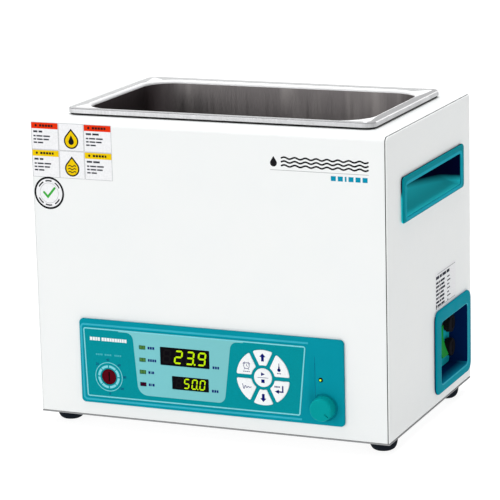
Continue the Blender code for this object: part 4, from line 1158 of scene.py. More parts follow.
def valley_shape():
    """Cutter for the shallow upright valley between the overlay and the knob."""
    left, bottom, right = VALLEY_LEFT, VALLEY_BOTTOM, VALLEY_RIGHT
    low, high, fade_length = BEZEL_LOW + 5.0, BEZEL_HIGH - 9.0, 24.0
    fall = 1.2
    rings = []
    for step in range(49):
        z = low + (high - low) * step / 48
        end_distance = min(z - low, high - z)
        share = min(end_distance / fade_length, 1.0)
        sink = -0.03 + fall * (3 * share ** 2 - 2 * share ** 3)
        outline = []
        for number in range(33):
            x = left + (right - left) * number / 32
            reach = (x - left) / (bottom - left) if x < bottom else (right - x) / (right - bottom)
            eased = 3 * reach ** 2 - 2 * reach ** 3
            outline.append((x, depth(BEZEL_FACE) - 0.02 + (sink + 0.02) * eased))
        outline += [(right, depth(BEZEL_FACE) - 2.0), (left, depth(BEZEL_FACE) - 2.0)]
        rings.append(ring("Z", outline, height(z)))
    return Shape().skin(rings)


def build_step_line():
    """Low rib that follows the overlay along its top, its left side and its bottom; its lighter
    teal is a painted highlight.
    """
    corners = [(96.0, 87.2), (-125.3, 87.2), (-124.2, 16.8), (89.0, 17.2)]
    path = rounded_polygon(corners, (0.0, 3.0, 3.0, 0.0), 8)
    rings = []
    for index, here in enumerate(path):
        before = Vector(path[max(index - 1, 0)])
        after = Vector(path[min(index + 1, len(path) - 1)])
        across = (after - before).normalized().orthogonal()
        loop = []
        for angle in range(0, 181, 20):
            offset = across * (0.9 * math.cos(math.radians(angle)))
            rise = 0.32 * math.sin(math.radians(angle))
            x, z = Vector(here) + offset
            loop.append((x, depth(BEZEL_FACE + 0.02) - rise, height(z)))
        rings.append(loop)
    Shape().skin(rings).piece("panel_rib", "teal_rib_painted_highlight", slot="teal_plastic")


def build_overlay():
    """Printed film with its border, its pale field and its generic graphics."""
    face = OVERLAY_FACE
    film = Shape().prism("Y", on_panel(overlay_outline(0.0)), depth(face), depth(face + 0.4))
    overlay = film.piece("panel_overlay", "overlay", replaces="overlay", slot="printed_overlay")
    openings = [on_panel(outline) for outline in panel_openings(OPENING_GAP)]
    carve(overlay, Shape().prisms("Y", openings, depth(face - 2.0), depth(face + 2.0)))
    border = panel_print(face)
    border.band(overlay_outline(-0.1), overlay_outline(-1.3))
    border.piece("print_border", "ink_line", slot="printed_overlay")
    corners = ((15.1, 25.0), (22.2, 82.2), (34.0, 82.2), (34.0, 83.2), (-88.0, 83.2), (-88.0, 82.2),
               (-74.0, 82.2), (-69.6, 25.0))
    field = rounded_polygon(corners, (7.0, 7.0, 0.0, 0.0, 0.0, 0.0, 7.0, 10.0), 12)
    light = panel_print(face, INK * 0.7).fill(field)
    made = light.piece("print_field", "ink_light", slot="printed_overlay")
    cutters = [on_panel(outline) for outline in window_outlines(OPENING_GAP)]
    carve(made, Shape().prisms("Y", cutters, depth(face - 2.0), depth(face + 2.0)))
    build_panel_labels(face - INK * 0.7)
    build_dial_scale(face)


def build_panel_labels(face):
    """Small print of the panel, as plain bars."""
    navy = panel_print(face)
    for number in (1, 2, 3, 4):
        centre, half = panel_span("indicator_%d" % number)
        lengths = ((1.8, 1.8, 1.9), (1.6, 1.6, 1.7, 1.6), (1.9, 0.7, 2.0), (1.9, 0.7, 2.0))
        start = (centre[0] + half[0] + 2.6, centre[1] - 1.2)
        navy.words(start, 2.4, lengths[number - 1], 0.55)
    for node in ("display_measured", "display_set"):
        centre, half = panel_span(node)
        start = (centre[0] + half[0] + 3.2, centre[1] - half[1] + 0.3)
        navy.words(start, 2.4, (1.8, 1.7, 1.6), 0.6)
    navy.piece("print_labels", "ink_navy", slot="printed_overlay")
    title = panel_print(OVERLAY_FACE)
    title.words((-116.8, 72.6), 3.1, (2.4, 2.3, 1.9, 2.3), 0.4)
    title.words((-105.0, 72.6), 3.1, (2.3, 2.3, 2.4, 1.8, 2.3, 2.3, 1.8, 1.8, 2.0, 2.3), 0.4)
    title.piece("print_title", "ink_white", slot="printed_overlay")
    subtitle = panel_print(OVERLAY_FACE)
    for start in (-111.3, -102.5, -92.6):
        subtitle.words((start, 59.0), 1.6, (1.3, 1.3, 1.2, 1.3), 0.5)
    subtitle.piece("print_subtitle", "ink_faint", slot="printed_overlay")


def build_dial_scale(face):
    """Scale round the limit dial: a light band in eight parts, a thin ring and a row of numbers."""
    scale = panel_print(face)
    for eighth in range(8):
        start = 45.0 * eighth
        gap = (2.0, 3.5)[eighth % 2], (3.5, 2.0)[eighth % 2]
        scale.sector(DIAL_CENTRE, DIAL_RADIUS + 1.5, 10.8, start + gap[1], start + 45.0 - gap[0])
    scale.hoop(DIAL_CENTRE, 13.3, 0.6, 72)
    scale.piece("print_scale", "ink_line", slot="printed_overlay")
    numbers = panel_print(face)
    for text, angle in (("20", 135.0), ("40", 92.0), ("60", 48.0), ("80", 3.0), ("100", -40.0),
                        ("0", -88.0)):
        away = math.radians(angle)
        centre = (DIAL_CENTRE[0] + 15.9 * math.cos(away), DIAL_CENTRE[1] + 15.9 * math.sin(away))
        numbers.number(text, 3.2, centre)
    numbers.piece("print_numbers", "ink_navy", slot="printed_overlay")


def build_keys():
    """Six key caps round a central one, each with its icon."""
    stations = [(level, -inset) for level, inset in edge_arc(0.0, KEY_FACE, 0.35, 4)]
    stations += [(0.0, 0.0), (0.0, 0.6), (1.2, 0.6)]
    for name, span in KEYS.items():
        rings = [ring("Y", on_panel(key_outline(span, growth)), depth(level))
                 for level, growth in stations]
        Shape().skin(rings).piece(name + "_cap", "key", name, name, "white_key")
    profile = [(CENTRE_KEY_RADIUS + growth, depth(level)) for level, growth in stations]
    centre = panel_point(KEYPAD_CENTRE)
    Shape().turned("Y", centre, profile, 72).piece(
        "key_start_stop_cap", "key", "key_start_stop", "key_start_stop", "white_key")
    icons = {"key_up": draw_arrow, "key_down": lambda *place: draw_arrow(*place, -1.0),
             "key_timer": draw_clock, "key_auto_tune": draw_tuning, "key_enter": draw_enter,
             "key_temperature": draw_thermometer, "key_start_stop": draw_start_stop}
    for name, draw in icons.items():
        icon = panel_print(KEY_FACE)
        draw(icon, key_middle(name))
        icon.piece(name + "_icon", "ink_navy", name, slot="white_key")


def key_middle(name):
    """Point that a key's icon is drawn about."""
    if name not in KEYS:
        return KEYPAD_CENTRE
    radius = (KEYPAD_OUTER + KEYPAD_INNER) / 2
    return arc(KEYPAD_CENTRE, radius, sum(KEYS[name]) / 2, 360.0, 1)[0]


def draw_arrow(icon, centre, direction=1.0):
    """Broad arrow that points up, or down for a direction of -1."""
    head = ((0.0, 4.0), (-2.9, 0.7), (-1.3, 0.7), (-1.3, -3.4), (1.3, -3.4), (1.3, 0.7), (2.9, 0.7))
    icon.fill([(centre[0] + x, centre[1] + direction * z) for x, z in head])


def draw_clock(icon, centre):
    """Alarm clock with two bells, two feet and its hands."""
    x, z = centre
    icon.hoop(centre, 2.7, 0.45, 32)
    icon.line([(x, z + 1.7), (x, z), (x + 1.1, z - 0.6)], 0.4)
    for side in (-1, 1):
        bell = arc(centre, 3.6, 90.0 - side * 25.0, 90.0 - side * 62.0, 6)
        icon.line(bell, 0.6)
        icon.line([(x + side * 1.7, z - 2.6), (x + side * 2.4, z - 3.5)], 0.45)
    icon.words((x - 3.2, z - 5.6), 0.7, (1.2, 1.2, 1.2, 1.2), 0.5)


def draw_tuning(icon, centre):
    """Wave that settles to a level line."""
    x, z = centre
    points = []
    for step in range(49):
        share = step / 48
        swing = 2.6 * math.exp(-2.4 * share) * math.sin(math.radians(90 + 1080 * share))
        points.append((x - 4.2 + 8.4 * share, z + swing))
    icon.line(points, 0.55)


def draw_enter(icon, centre):
    """Return arrow under a short row of small print."""
    x, z = centre
    icon.line([(x + 3.2, z + 3.2), (x + 3.2, z - 1.9), (x - 1.0, z - 1.9)], 1.3)
    icon.fill([(x - 4.4, z - 1.9), (x - 0.4, z - 3.9), (x - 0.4, z + 0.1)])
    icon.words((x - 4.6, z + 1.8), 1.4, (1.0, 1.0, 0.9, 1.0), 0.4)


def draw_thermometer(icon, centre):
    """Thermometer: a bulb, a broad tube and a thin one above it."""
    x, z = centre
    icon.disc((x, z - 1.4), 1.6)
    icon.box((x - 0.7, z - 1.0), (x + 0.7, z + 1.8), 0.2)
    icon.box((x - 0.3, z + 1.6), (x + 0.3, z + 4.6), 0.1)
    icon.words((x - 1.9, z - 5.0), 0.8, (1.0, 0.9, 1.0), 0.35)


def draw_start_stop(icon, centre):
    """Start triangle over stop square, with a rule between them."""
    x, z = centre
    icon.fill([(x - 1.7, z + 4.9), (x - 1.7, z + 1.5), (x + 1.9, z + 3.2)])
    icon.box((x - 5.2, z - 0.2), (x + 5.2, z + 0.2))
    icon.box((x - 1.6, z - 4.8), (x + 1.6, z - 1.6))


# Seven-segment digits: which of the segments a to g each numeral lights
SEGMENTS = {"0": "abcdef", "2": "abdeg", "3": "abcdg", "5": "acdfg", "9": "abcdfg", " ": ""}
DIGIT_SLANT = math.radians(8)


def segment_outlines(width, tall, thick):
    """Outlines of the segments a to g of an upright digit about its centre."""
    half_x, half_z = (width - thick) / 2, (tall - thick) / 2
    nib = thick / 2
    split = thick * 0.12
    places = {
        "a": ((-half_x, half_z), (half_x, half_z)), "d": ((-half_x, -half_z), (half_x, -half_z)),
        "g": ((-half_x, 0.0), (half_x, 0.0)), "b": ((half_x, 0.0), (half_x, half_z)),
        "c": ((half_x, -half_z), (half_x, 0.0)), "f": ((-half_x, 0.0), (-half_x, half_z)),
        "e": ((-half_x, -half_z), (-half_x, 0.0)),
    }
    outlines = {}
    for name, (start, end) in places.items():
        along = (Vector(end) - Vector(start)).normalized()
        across = along.orthogonal()
        first = Vector(start) + along * split
        last = Vector(end) - along * split
        outlines[name] = [tuple(point) for point in (
            first, first + (along - across) * nib, last - (along + across) * nib,
            last, last - (along - across) * nib, first + (along + across) * nib)]
    return outlines


def build_display(node, text, point_after, pitch, width, tall):
    """Dark filter window with slanted segments; those of the numeral are lit."""
    centre, half = panel_span(node)
    low, high = box_mm(node)
    front = low.y - CASE_FRONT
    stations = edge_arc(5.0, front, 0.15, 3)
    stations.append((high.y - CASE_FRONT, 0.0))
    rings = [ring("Y", on_panel(rounded_rect(
        *around(centre, half[0] - inset, half[1] - inset), 0.6, 4)), depth(level))
             for level, inset in stations]
    Shape().skin(rings).piece(node + "_window", "window", replaces=node, slot="display_window")
    lit, unlit = panel_print(front), panel_print(front)
    thick = tall * 0.125
    last_x = centre[0] + half[0] - width / 2 - 3.2
    slope = math.tan(DIGIT_SLANT)
    for place, numeral in enumerate(text):
        x = last_x - (len(text) - 1 - place) * pitch
        for name, outline in segment_outlines(width, tall, thick).items():
            slanted = [(x + u + v * slope, centre[1] + v) for u, v in outline]
            (lit if name in SEGMENTS[numeral] else unlit).fill(slanted)
        point = (x + width / 2 + thick * 0.75 - tall / 2 * slope, centre[1] - (tall - thick) / 2)
        (lit if place == point_after else unlit).disc(point, thick * 0.55, 16)
    lit.piece(node + "_lit", "lit", slot="display_window")
    unlit.piece(node + "_unlit", "unlit", slot="display_window")


def build_indicators():
    """Each lens is a pair of small domed cells side by side."""
    for number in (1, 2, 3, 4):
        node = "indicator_%d" % number
        centre, half = panel_span(node)[0], LENS_HALF
        low, high = box_mm(node)
        lens = Shape()
        for side in (-1, 1):
            cell = (centre[0] + side * half[0] / 2, centre[1])
            rings = []
            for level, inset in ((0.0, 0.6), (0.08, 0.3), (0.3, 0.08), (0.8, 0.0)):
                size = (half[0] / 2 - 0.12 - inset, half[1] - inset)
                rings.append(ring("Y", on_panel(rounded_rect(*around(cell, *size), 0.35, 4)),
                                  low.y + level))
            size = (half[0] / 2 - 0.12, half[1])
            rings.append(ring("Y", on_panel(rounded_rect(*around(cell, *size), 0.35, 4)), high.y))
            lens.skin(rings)
        material = "lens_red" if number == 4 else "lens_green"
        lens.piece(node + "_lens", material, replaces=node, slot="indicator_lens")


def build_pilot():
    """Small bright lens set off centre in a black holder."""
    low, high = box_mm("pilot_lamp")
    centre = panel_point(PILOT_CENTRE)
    radius = PILOT_RADIUS
    holder = ((radius, high.y), (radius, low.y + 0.25), (radius - 0.3, low.y),
              (radius - 0.7, low.y + 0.3), (0.5, low.y + 0.4))
    Shape().turned("Y", centre, holder, 40).piece(
        "pilot_holder", "black", replaces="pilot_lamp", slot="indicator_lens")
    bulb = radius * 0.52
    aside = (centre[0] - radius * 0.36, centre[1] - radius * 0.24)
    profile = [(bulb, low.y + 0.6), (bulb, low.y + 0.4)]
    for angle in (20, 40, 60, 78):
        away = math.radians(angle)
        profile.append((bulb * math.cos(away), low.y + 0.4 - 0.6 * bulb * math.sin(away)))
    Shape().turned("Y", aside, profile, 32).piece("pilot_lens", "pilot", slot="indicator_lens")


def build_dial():
    """Screwdriver dial of the over-temperature cut-out."""
    low, high = box_mm("limit_dial")
    centre = panel_point(DIAL_CENTRE)
    profile = [(3.0, high.y), (3.0, depth(1.0)), (DIAL_RADIUS, depth(1.0)),
               (DIAL_RADIUS, low.y + 0.7), (DIAL_RADIUS - 0.2, low.y + 0.25),
               (DIAL_RADIUS - 0.6, low.y), (DIAL_RADIUS - 1.3, low.y),
               (DIAL_RADIUS - 1.7, low.y + 0.3), (2.6, low.y + 0.45)]
    dial = Shape().turned("Y", centre, profile, 64).piece(
        "limit_dial_disc", "dial", "limit_dial", "limit_dial", "dark_red_plastic")
    slot = square_rect(*around(centre, 0.7, 4.5))
    carve(dial, Shape().prism("Y", slot, low.y - 1.0, low.y + 0.9))
    # painted shade: near-black sheet at the bottom of the slot
    floor = Shape().prism("Y", slot, low.y + 0.85, low.y + 0.95)
    floor.piece("limit_dial_slot", "dial_slot", "limit_dial", slot="dark_red_plastic")


def build_knob():
    """Round knob with soft edges, a shallow dish in its face and a pointer notch."""
    low, high = box_mm("knob")
    face = low.y
    skirt = depth(BEZEL_FACE - GAP)
    centre = panel_point(KNOB_CENTRE)
    profile = [(3.0, high.y), (3.0, skirt - 2.2), (8.3, skirt - 2.2), (8.3, skirt), (9.8, skirt),
               (KNOB_RADIUS, skirt - 0.6)]
    shoulder, edge = KNOB_RADIUS - 0.45, 2.1
    profile += [(shoulder - edge * (1 - cosine), face + edge * (1 - sine))
                for cosine, sine in quarter(8)]
    profile += [(6.5, face + 0.12), (4.0, face + 0.22), (1.5, face + 0.26)]
    knob = Shape().turned("Y", centre, profile, 96).piece(
        "knob_cap", "teal_knob", "knob", "knob", "teal_plastic")
    away = math.radians(-38.0)
    pointer = [(centre[0] + reach * math.cos(away), centre[1] + reach * math.sin(away))
               for reach in (5.6, KNOB_RADIUS + 1.0)]
    carve(knob, Shape().prism("Y", stroke(pointer, 1.3), face - 1.0, face + 0.9))


# ------------------------------------------------------------------ power recess
def build_power_recess():
    """Moulded recess in the right side that holds the inlet, the switch and the fuses."""
    face = HALF_WIDTH + FRAME_PROUD
    stations = [
        (POWER_FLOOR - POWER_WALL, grown(POWER_MOUTH, POWER_WALL - 1.5), POWER_MOUTH_CORNER),
        (HALF_WIDTH + GAP, grown(POWER_MOUTH, POWER_WALL), POWER_MOUTH_CORNER + 1.0),
        (HALF_WIDTH + GAP, POWER_FRAME, POWER_FRAME_CORNER),
    ]
    for level, inset in reversed(edge_arc(HALF_WIDTH, face, 1.3, 6)):
        stations.append((level, grown(POWER_FRAME, -inset), POWER_FRAME_CORNER - inset))
    for level, inset in edge_arc(HALF_WIDTH, face, 0.9, 6):
        stations.append((level, grown(POWER_MOUTH, inset), POWER_MOUTH_CORNER + inset))
    for level, inset in ((HALF_WIDTH - 3.5, 0.0), (POWER_FLOOR + 1.5, 1.0),
                         (POWER_FLOOR + 0.4, 1.4), (POWER_FLOOR, 2.4)):
        stations.append((level, grown(POWER_MOUTH, -inset), POWER_MOUTH_CORNER - inset))
    rings = [ring("X", on_side(rounded_rect(*mouth, radius, 10)), level)
             for level, mouth, radius in stations]
    recess = Shape().skin(rings).piece(
        "power_frame", "recess", replaces="power_recess", slot="teal_plastic")
    openings = [side_frame(SWITCH_CENTRE)(*SWITCH_HOLE), side_frame(INLET_CENTRE)(*INLET_HOLE)]
    for row_name in ("upper", "lower"):
        centre = side_span("fuse_holder_" + row_name)[0]
        openings.append(on_side(circle(centre, FUSE_HOLE_RADIUS, 40)))
    carve(recess, Shape().prisms("X", openings, POWER_FLOOR - POWER_WALL - 2.0, POWER_FLOOR + 2.0))
    # painted shade on the walls and the lower wall, painted light on the floor, and a painted
    # highlight on the mouth's rounded edge
    add_finishes(recess, "recess_wall", "recess_sill", "grip_deep", "teal_rib_painted_highlight")
    frame_face, wall, sill, floor, mouth_edge = range(5)
    for face in recess.data.polygons:
        finish = wall
        if face.center.x / MM > HALF_WIDTH + 1.0:
            finish = frame_face
        elif face.normal.z > 0.6:
            finish = sill
        elif face.normal.x > 0.6:
            finish = floor
        face.material_index = finish
    paint_mouth_highlight(recess, 1, POWER_MOUTH, mouth_edge)


def side_frame(centre):
    """Function that gives a rectangle about a centre on the side, from its half sizes."""
    def outline(half_depth, half_height, radius=0.0):
        low, high = around(centre, half_depth, half_height)
        return on_side(rounded_rect(low, high, radius) if radius else square_rect(low, high))

    return outline


def build_switch():
    """Rocker switch: a snap-in housing and a rocker that rests tilted with its top pressed in."""
    seat = POWER_FLOOR + GAP
    back = box_mm("switch_housing")[0].x
    stations = ((back, 9.3, 15.8), (seat, 9.3, 15.8), (seat, 10.3, 17.2), (seat + 1.2, 10.3, 17.2),
                (seat + 1.5, 10.15, 17.05), (seat + 1.7, 9.8, 16.7), (seat + 1.7, 8.5, 14.9),
                (seat + 1.5, 8.4, 14.8), (back + 2.0, 8.4, 14.8))
    stations = [(*station, 0.5) for station in stations]
    Shape().stack("X", stations, side_frame(SWITCH_CENTRE)).piece(
        "switch_frame", "black", replaces="switch_housing", slot="black_plastic")
    rocker_axis = frame_joint_anchor("power_rocker_tilt")
    half_length, crest, waist, belly, tilt = 14.0, 5.0, 2.8, -5.0, math.radians(10.0)
    shape = [(-half_length, 0.0), (-half_length + 2.5, belly), (half_length - 2.5, belly),
             (half_length, 0.0)]
    for step in range(25):
        along = half_length * (1.0 - step / 12)
        shape.append((along, waist + (crest - waist) * (along / half_length) ** 2))
    outline = [rocker_point(rocker_axis, along, out, tilt) for along, out in shape]
    middle = depth(SWITCH_CENTRE[0])
    rings = [ring("Y", outline, middle + side) for side in (-8.0, 8.0)]
    rocker = Shape().skin(rings).piece("power_rocker_cap", "rocker", "power_rocker", "power_rocker",
                                       "green_rocker")
    round_edges(rocker, 0.5, 3)
    rings = []
    for across in (-0.4, 0.4):
        loop = []
        for along, lift in ((6.1, -0.05), (10.9, -0.05), (10.9, 0.06), (6.1, 0.06)):
            out = waist + (crest - waist) * (along / half_length) ** 2 + lift
            x, z = rocker_point(rocker_axis, along, out, tilt)
            loop.append((x, middle + across, z))
        rings.append(loop)
    Shape().skin(rings).piece("power_rocker_mark", "ink_white", "power_rocker", slot="green_rocker")


def rocker_point(axis, along, out, tilt):
    """World x and z of a point of the tilted rocker, along it and out from its axis."""
    return (axis.x + out * math.cos(tilt) - along * math.sin(tilt),
            axis.z + along * math.cos(tilt) + out * math.sin(tilt))


def frame_joint_anchor(name):
    """Point on a joint's axis, in millimetres."""
    for joint in frame["joints"]:
        if joint["name"] == name:
            return Vector(joint["pos_m"]) / MM
    raise ValueError(name)


def build_fuses():
    """Panel fuse holders with slotted, finely ribbed caps."""
    seat = POWER_FLOOR + GAP
    for row_name in ("upper", "lower"):
        holder_node, cap_node = "fuse_holder_" + row_name, "fuse_cap_" + row_name
        low, high = box_mm(holder_node)
        centre = ((low.y + high.y) / 2, (low.z + high.z) / 2)
        profile = ((6.2, low.x), (6.2, seat), (7.5, seat), (7.5, seat + 1.0), (7.2, seat + 1.4),
                   (4.9, seat + 1.4), (4.7, seat + 1.2), (4.7, low.x + 4.0))
        Shape().turned("X", centre, profile, 48).piece(
            holder_node + "_barrel", "black", replaces=holder_node, slot="black_plastic")
        cap_low, cap_high = box_mm(cap_node)
        back = seat + 1.4 + GAP
        face = cap_high.x
        stem = circle(centre, 4.2, 96)
        rings = [ring("X", stem, cap_low.x), ring("X", stem, back)]
        for level, radius, groove in (
                (back, 8.6, 0.0), (back + 0.5, 8.6, 0.35), (face - 1.3, 8.45, 0.35),
                (face - 0.8, 8.4, 0.0), (face - 0.2, 8.0, 0.0), (face, 7.6, 0.0)):
            loop = []
            for step in range(96):
                angle = math.radians(3.75 * step)
                reach = radius - groove * (step % 4 > 1)
                loop.append((centre[0] + reach * math.cos(angle),
                             centre[1] + reach * math.sin(angle)))
            rings.append(ring("X", loop, level))
        cap = Shape().skin(rings).piece(
            cap_node + "_ribbed", "black", cap_node, cap_node, "black_plastic")
        slot = square_rect(*around(centre, 0.7, 5.0))
        carve(cap, Shape().prism("X", slot, face - 1.2, face + 2.0))


def build_inlet():
    """Three-pole appliance inlet with rounded corners and metal pins."""
    seat = POWER_FLOOR + GAP
    back = box_mm("power_inlet")[0].x
    stations = ((back, 13.5, 10.5, 1.0), (seat, 13.5, 10.5, 1.0), (seat, 15.0, 12.2, 2.0),
                (seat + 1.2, 15.0, 12.2, 2.0), (seat + 1.5, 14.8, 12.0, 1.8),
                (seat + 1.6, 14.5, 11.7, 1.5), (seat + 1.6, 12.5, 8.7, 1.5),
                (seat + 1.3, 12.2, 8.4, 1.2), (seat - 14.4, 12.2, 8.4, 1.2))
    Shape().stack("X", stations, side_frame(INLET_CENTRE)).piece(
        "inlet_socket", "black", replaces="power_inlet", slot="black_plastic")
    pins = Shape()
    for across, up in ((-7.0, -2.0), (7.0, -2.0), (0.0, 2.5)):
        blade = (INLET_CENTRE[0] + across, INLET_CENTRE[1] + up)
        stations = ((seat - 15.4, 1.0, 2.0, 0.3), (seat - 3.0, 1.0, 2.0, 0.3),
                    (seat - 2.2, 0.7, 1.7, 0.3), (seat - 2.0, 0.4, 1.4, 0.3))
        pins.stack("X", stations, side_frame(blade))
    pins.piece("inlet_pins", "zinc", slot="black_plastic")


# ------------------------------------------------------------------ stickers
def build_notice():
    """Sheet of six plain notices on the upper left of the front: bars, drops and waves."""
    face = 0.0
    low, high = (-169.0, 220.4), (-89.0, 270.7)
    panel_print(face, FILM).box(low, high, 1.0).piece("notice_sheet", "label")
    top = face - FILM
    columns = ((-169.0, -141.6), (-141.6, -116.4), (-116.4, -89.0))
    rows = ((245.6, 270.7), (220.4, 245.6))
    grid = panel_print(top)
    for left, right in columns:
        for bottom, upper in rows:
            outer = rounded_rect((left + 0.15, bottom + 0.15), (right - 0.15, upper - 0.15), 0.5)
            inner = rounded_rect((left + 0.5, bottom + 0.5), (right - 0.5, upper - 0.5), 0.3)
            grid.band(outer, inner)
    grid.piece("notice_grid", "ink_grey")
    small_print = panel_print(top)
    for column in (0, 2):
        left = columns[column][0] + 2.3
        for row, (bottom, upper) in enumerate(rows):
            small_print.words((left, upper - 9.6), 1.7, ((4.2, 3.6), (), (5.2, 6.4))[column], 1.2)
            for line, lengths in enumerate(((2.2, 6.0, 6.6), (2.6, 5.6, 5.4), (3.4, 5.2))):
                small_print.words((left, upper - 13.4 - 3.0 * line), 1.3, lengths, 0.9)
    small_print.piece("notice_small_print", "ink_dark_grey")
    for name, row in (("ink_red", 0), ("ink_yellow", 1)):
        header = panel_print(top)
        upper = rows[row][1]
        for column in (0, 2):
            left, right = columns[column]
            header.box((left + 0.5, upper - 6.0), (right - 0.5, upper - 0.5))
        header.piece("notice_header_%d" % row, name)
    marks = panel_print(top - INK)
    for column in (0, 2):
        left, right = columns[column]
        for bottom, upper in rows:
            marks.disc((left + 5.0, upper - 3.2), 1.1, 20)
            marks.words((left + 8.5, upper - 4.2), 2.0, (2.2, 2.2, 2.2, 2.2, 1.8), 0.7)
    marks.piece("notice_header_marks", "ink_black")
    build_notice_drops(columns[1], rows, top)


def build_notice_drops(column, rows, face):
    """Yellow drops with a dark rim; one holds a small drop, the other three waves."""
    x = sum(column) / 2
    rim, fill, symbol = panel_print(face), panel_print(face - INK), panel_print(face - 2 * INK)
    for bottom, _ in rows:
        centre = (x, bottom + 9.2)
        rim.fill(droplet(centre, 7.2, 11.2))
        fill.fill(droplet(centre, 5.9, 9.2))
    symbol.fill(droplet((x, rows[0][0] + 8.4), 2.7, 6.2))
    for offset in (-2.7, 0.0, 2.7):
        start = (x - 3.6, rows[1][0] + 8.9 + offset)
        symbol.line(wave(start, (x + 3.6, start[1]), 0.6, 1.5, 24), 0.8)
    rim.piece("notice_drop_rims", "ink_black")
    fill.piece("notice_drops", "ink_yellow")
    symbol.piece("notice_symbols", "ink_black")


def build_round_sticker():
    """Round sticker with a black edge and a plain green tick."""
    centre = (-153.2, 206.1)
    panel_print(0.0, FILM).disc(centre, 15.0, 96).piece("round_sticker", "label")
    edge = panel_print(-FILM)
    edge.hoop(centre, 14.0, 1.8, 96)
    for start in (25.0, 75.0, 120.0, 205.0, 250.0, 300.0):
        edge.sector(centre, 10.6, 11.8, start, start + 32.0, 12)
    edge.piece("round_sticker_edge", "ink_black")
    hoop = panel_print(-FILM)
    hoop.hoop(centre, 9.2, 0.35, 72)
    hoop.piece("round_sticker_ring", "ink_grey")
    tick = panel_print(-FILM)
    x, z = centre
    tick.line([(x - 5.2, z + 0.4), (x - 1.4, z - 3.6), (x + 5.6, z + 4.6)], 2.1)
    tick.piece("round_sticker_tick", "ink_green")


def build_front_mark():
    """Plain mark on the front: a drop and a band of waves over a thin rule."""
    black = panel_print(0.0)
    base = 242.4
    black.fill(droplet((66.0, base + 3.2), 3.2, 6.1))
    for rise in (1.2, 4.6, 8.0):
        start = (73.5, base + rise)
        black.line(wave(start, (153.0, start[1]), 0.75, 8.0, 128), 1.5)
    black.piece("front_mark", "ink_black")
    rule = panel_print(0.0)
    rule.box((62.8, 239.3), (153.6, 239.8))
    rule.piece("front_rule", "ink_grey")
    teal = panel_print(0.0)
    teal.words((118.9, 232.7), 4.3, (4.6, 4.6, 1.6, 4.6, 4.6, 4.6), 1.8)
    teal.piece("front_small_mark", "ink_teal")


def build_rating_label():
    """Rating label on the right side: a rule, rows of bars and a small table."""
    low, high = (124.6, 90.4), (183.0, 125.4)
    label = side_print(HALF_WIDTH, FILM)
    label.box(low, high, 1.0)
    label.piece("rating_label", "label")
    dark = side_print(HALF_WIDTH + FILM)
    dark.words((127.0, 118.6), 2.8, (9.0, 6.0, 10.5, 8.0), 1.6)
    for row, lengths in enumerate(((7.0, 3.0, 12.0), (9.0, 3.0, 9.0), (6.0, 3.0, 14.0),
                                   (8.0, 3.0, 8.0), (5.0, 3.0, 13.0), (9.0, 4.0, 7.0),
                                   (3.0, 9.0, 9.0))):
        level = 114.2 - 3.6 * row
        dark.words((127.0, level), 2.0, lengths, 1.3)
        dark.words((158.6, level), 1.1, lengths[:1], 1.3)
    dark.box((126.6, 91.2), (128.4, 95.4))
    dark.piece("rating_print", "ink_print")
    grey = side_print(HALF_WIDTH + FILM)
    for level in (122.9, 91.6):
        grey.box((131.0, level), (181.6, level + 0.8))
    grey.piece("rating_rules", "ink_grey")


# ------------------------------------------------------------------ parts kept from the CAD model
KEPT = {
    # the base plate's grey is painted shade under the case's lower edge
    "base": ("base_plate",),
    "zinc": ("heater_bracket", "potentiometer"),
    "tank": ("temperature_probe",),
    "felt": ("tank_insulation",),
    "silicone": ("heater_pad",),
    "copper": ("limit_bulb",),
    "black": ("limit_thermostat", "solid_state_relay"),
    "board": ("display_board", "control_board"),
    "iron": ("transformer",),
    "fins": ("heat_sink",),
    "key": ("terminal_block",),
}


def finish_kept_nodes():
    """Gives the parts that keep their CAD shape their finishes."""
    for finish, nodes in KEPT.items():
        for node in nodes:
            for slot in frame["nodes"][node].material_slots:
                slot.material = FINISHES[finish]


# ------------------------------------------------------------------ stage
CAMERA_PLACE = (0.884, -2.0825, 0.678)
CAMERA_AZIMUTH = 23.10
CAMERA_ELEVATION = 13.10
CAMERA_ROLL = -1.38
CAMERA_LENS = 181.3
WALL_TOP = 28.0             # elevation where the studio's bright walls end, in degrees
WALL_LIGHT = 0.85
CEILING_LIGHT = 0.42
TILT = 0.22                 # how much brighter the wall in front is than the mean
SLOPE = 0.42                # how much brighter the wall on the left is than the mean


def aim(back, roll=0.0):
    """Rotation of a camera or lamp that looks against a direction."""
    back = Vector(back).normalized()
    right = Vector((0.0, 0.0, 1.0)).cross(back).normalized()
    up = back.cross(right)
    turned_right = right * math.cos(roll) + up * math.sin(roll)
    turned_up = up * math.cos(roll) - right * math.sin(roll)
    return Matrix((turned_right, turned_up, back)).transposed().to_4x4()


def add_camera():
    azimuth, elevation = math.radians(CAMERA_AZIMUTH), math.radians(CAMERA_ELEVATION)
    back = (math.sin(azimuth) * math.cos(elevation), -math.cos(azimuth) * math.cos(elevation),
            math.sin(elevation))
    data = bpy.data.cameras.new("camera")
    data.sensor_width = 36.0
    data.lens = CAMERA_LENS
    data.clip_end = 100.0
    camera = bpy.data.objects.new("camera", data)
    bpy.context.collection.objects.link(camera)
    camera.matrix_world = Matrix.Translation(CAMERA_PLACE) @ aim(back, math.radians(CAMERA_ROLL))
    bpy.context.scene.camera = camera


def add_sun(name, towards, irradiance, spread):
    """Very soft sun that shines from a direction."""
    data = bpy.data.lights.new(name, "SUN")
    data.energy = irradiance
    data.angle = math.radians(spread)
    sun = bpy.data.objects.new(name, data)
    bpy.context.collection.objects.link(sun)
    sun.matrix_world = aim(towards)


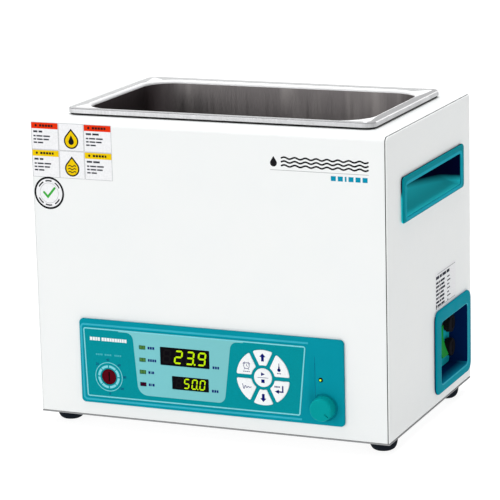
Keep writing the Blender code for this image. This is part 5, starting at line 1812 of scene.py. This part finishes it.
def add_floor():
    """Evenly lit white table that takes next to no shadow."""
    reach = 12.0
    bm = bmesh.new()
    bm.faces.new([bm.verts.new((x, y, 0.0)) for x, y in square_rect((-reach,) * 2, (reach,) * 2)])
    mesh = bpy.data.meshes.new("floor")
    bm.to_mesh(mesh)
    bm.free()
    floor = bpy.data.objects.new("floor", mesh)
    bpy.context.collection.objects.link(floor)
    surface = Surface("light_table", (0.22, 0.22, 0.22), 0.9, Specular_IOR_Level=0.0,
                      Emission_Color=(1.0, 1.0, 1.0, 1.0), Emission_Strength=0.90)
    surface.tint(surface.noise(400.0), (0.21, 0.21, 0.21))
    mesh.materials.append(surface.material)


def add_world():
    """White studio with dim ceiling, whose walls are brightest in front and on the left."""
    world = bpy.data.worlds.new("studio")
    world.use_nodes = True
    nodes, links = world.node_tree.nodes, world.node_tree.links
    place = nodes.new("ShaderNodeTexCoord")
    split = nodes.new("ShaderNodeSeparateXYZ")
    links.new(place.outputs["Generated"], split.inputs["Vector"])
    ceiling = (math.sin(math.radians(WALL_TOP - 12.0)), math.sin(math.radians(WALL_TOP + 12.0)),
               WALL_LIGHT, CEILING_LIGHT)
    strength = None
    for axis, limits in (("Z", ceiling), ("Y", (-1.0, 1.0, 1.0 + TILT, 1.0 - TILT)),
                         ("X", (-1.0, 1.0, 1.0 + SLOPE, 1.0 - SLOPE))):
        fade = nodes.new("ShaderNodeMapRange")
        for socket, value in zip(("From Min", "From Max", "To Min", "To Max"), limits):
            fade.inputs[socket].default_value = value
        links.new(split.outputs[axis], fade.inputs["Value"])
        if strength is None:
            strength = fade.outputs["Result"]
            continue
        product = nodes.new("ShaderNodeMath")
        product.operation = "MULTIPLY"
        links.new(strength, product.inputs[0])
        links.new(fade.outputs["Result"], product.inputs[1])
        strength = product.outputs["Value"]
    background = nodes["Background"]
    background.inputs["Color"].default_value = (1.0, 1.0, 1.0, 1.0)
    links.new(strength, background.inputs["Strength"])
    bpy.context.scene.world = world


def build_stage():
    add_camera()
    add_floor()
    add_world()
    add_sun("ceiling", (-0.06, 0.12, 0.98), 3.0, 40.0)
    add_sun("key", (-0.45, -0.82, 0.34), 0.5, 30.0)
    bpy.context.scene.view_settings.view_transform = "Standard"


def main():
    build_stage()
    build_front_top()
    build_rear_panel()
    for side_name, side in (("left", -1), ("right", 1)):
        build_side_panel(side_name, side)
        build_grip(side_name, side)
    build_feet()
    build_tank()
    build_bezel()
    build_overlay()
    build_keys()
    build_display("display_measured", " 239", 2, 11.4, 8.0, 12.7)
    build_display("display_set", " 500", 2, 7.7, 5.6, 9.6)
    build_indicators()
    build_pilot()
    build_dial()
    build_knob()
    build_power_recess()
    build_switch()
    build_fuses()
    build_inlet()
    build_notice()
    build_round_sticker()
    build_front_mark()
    build_rating_label()
    finish_kept_nodes()


main()
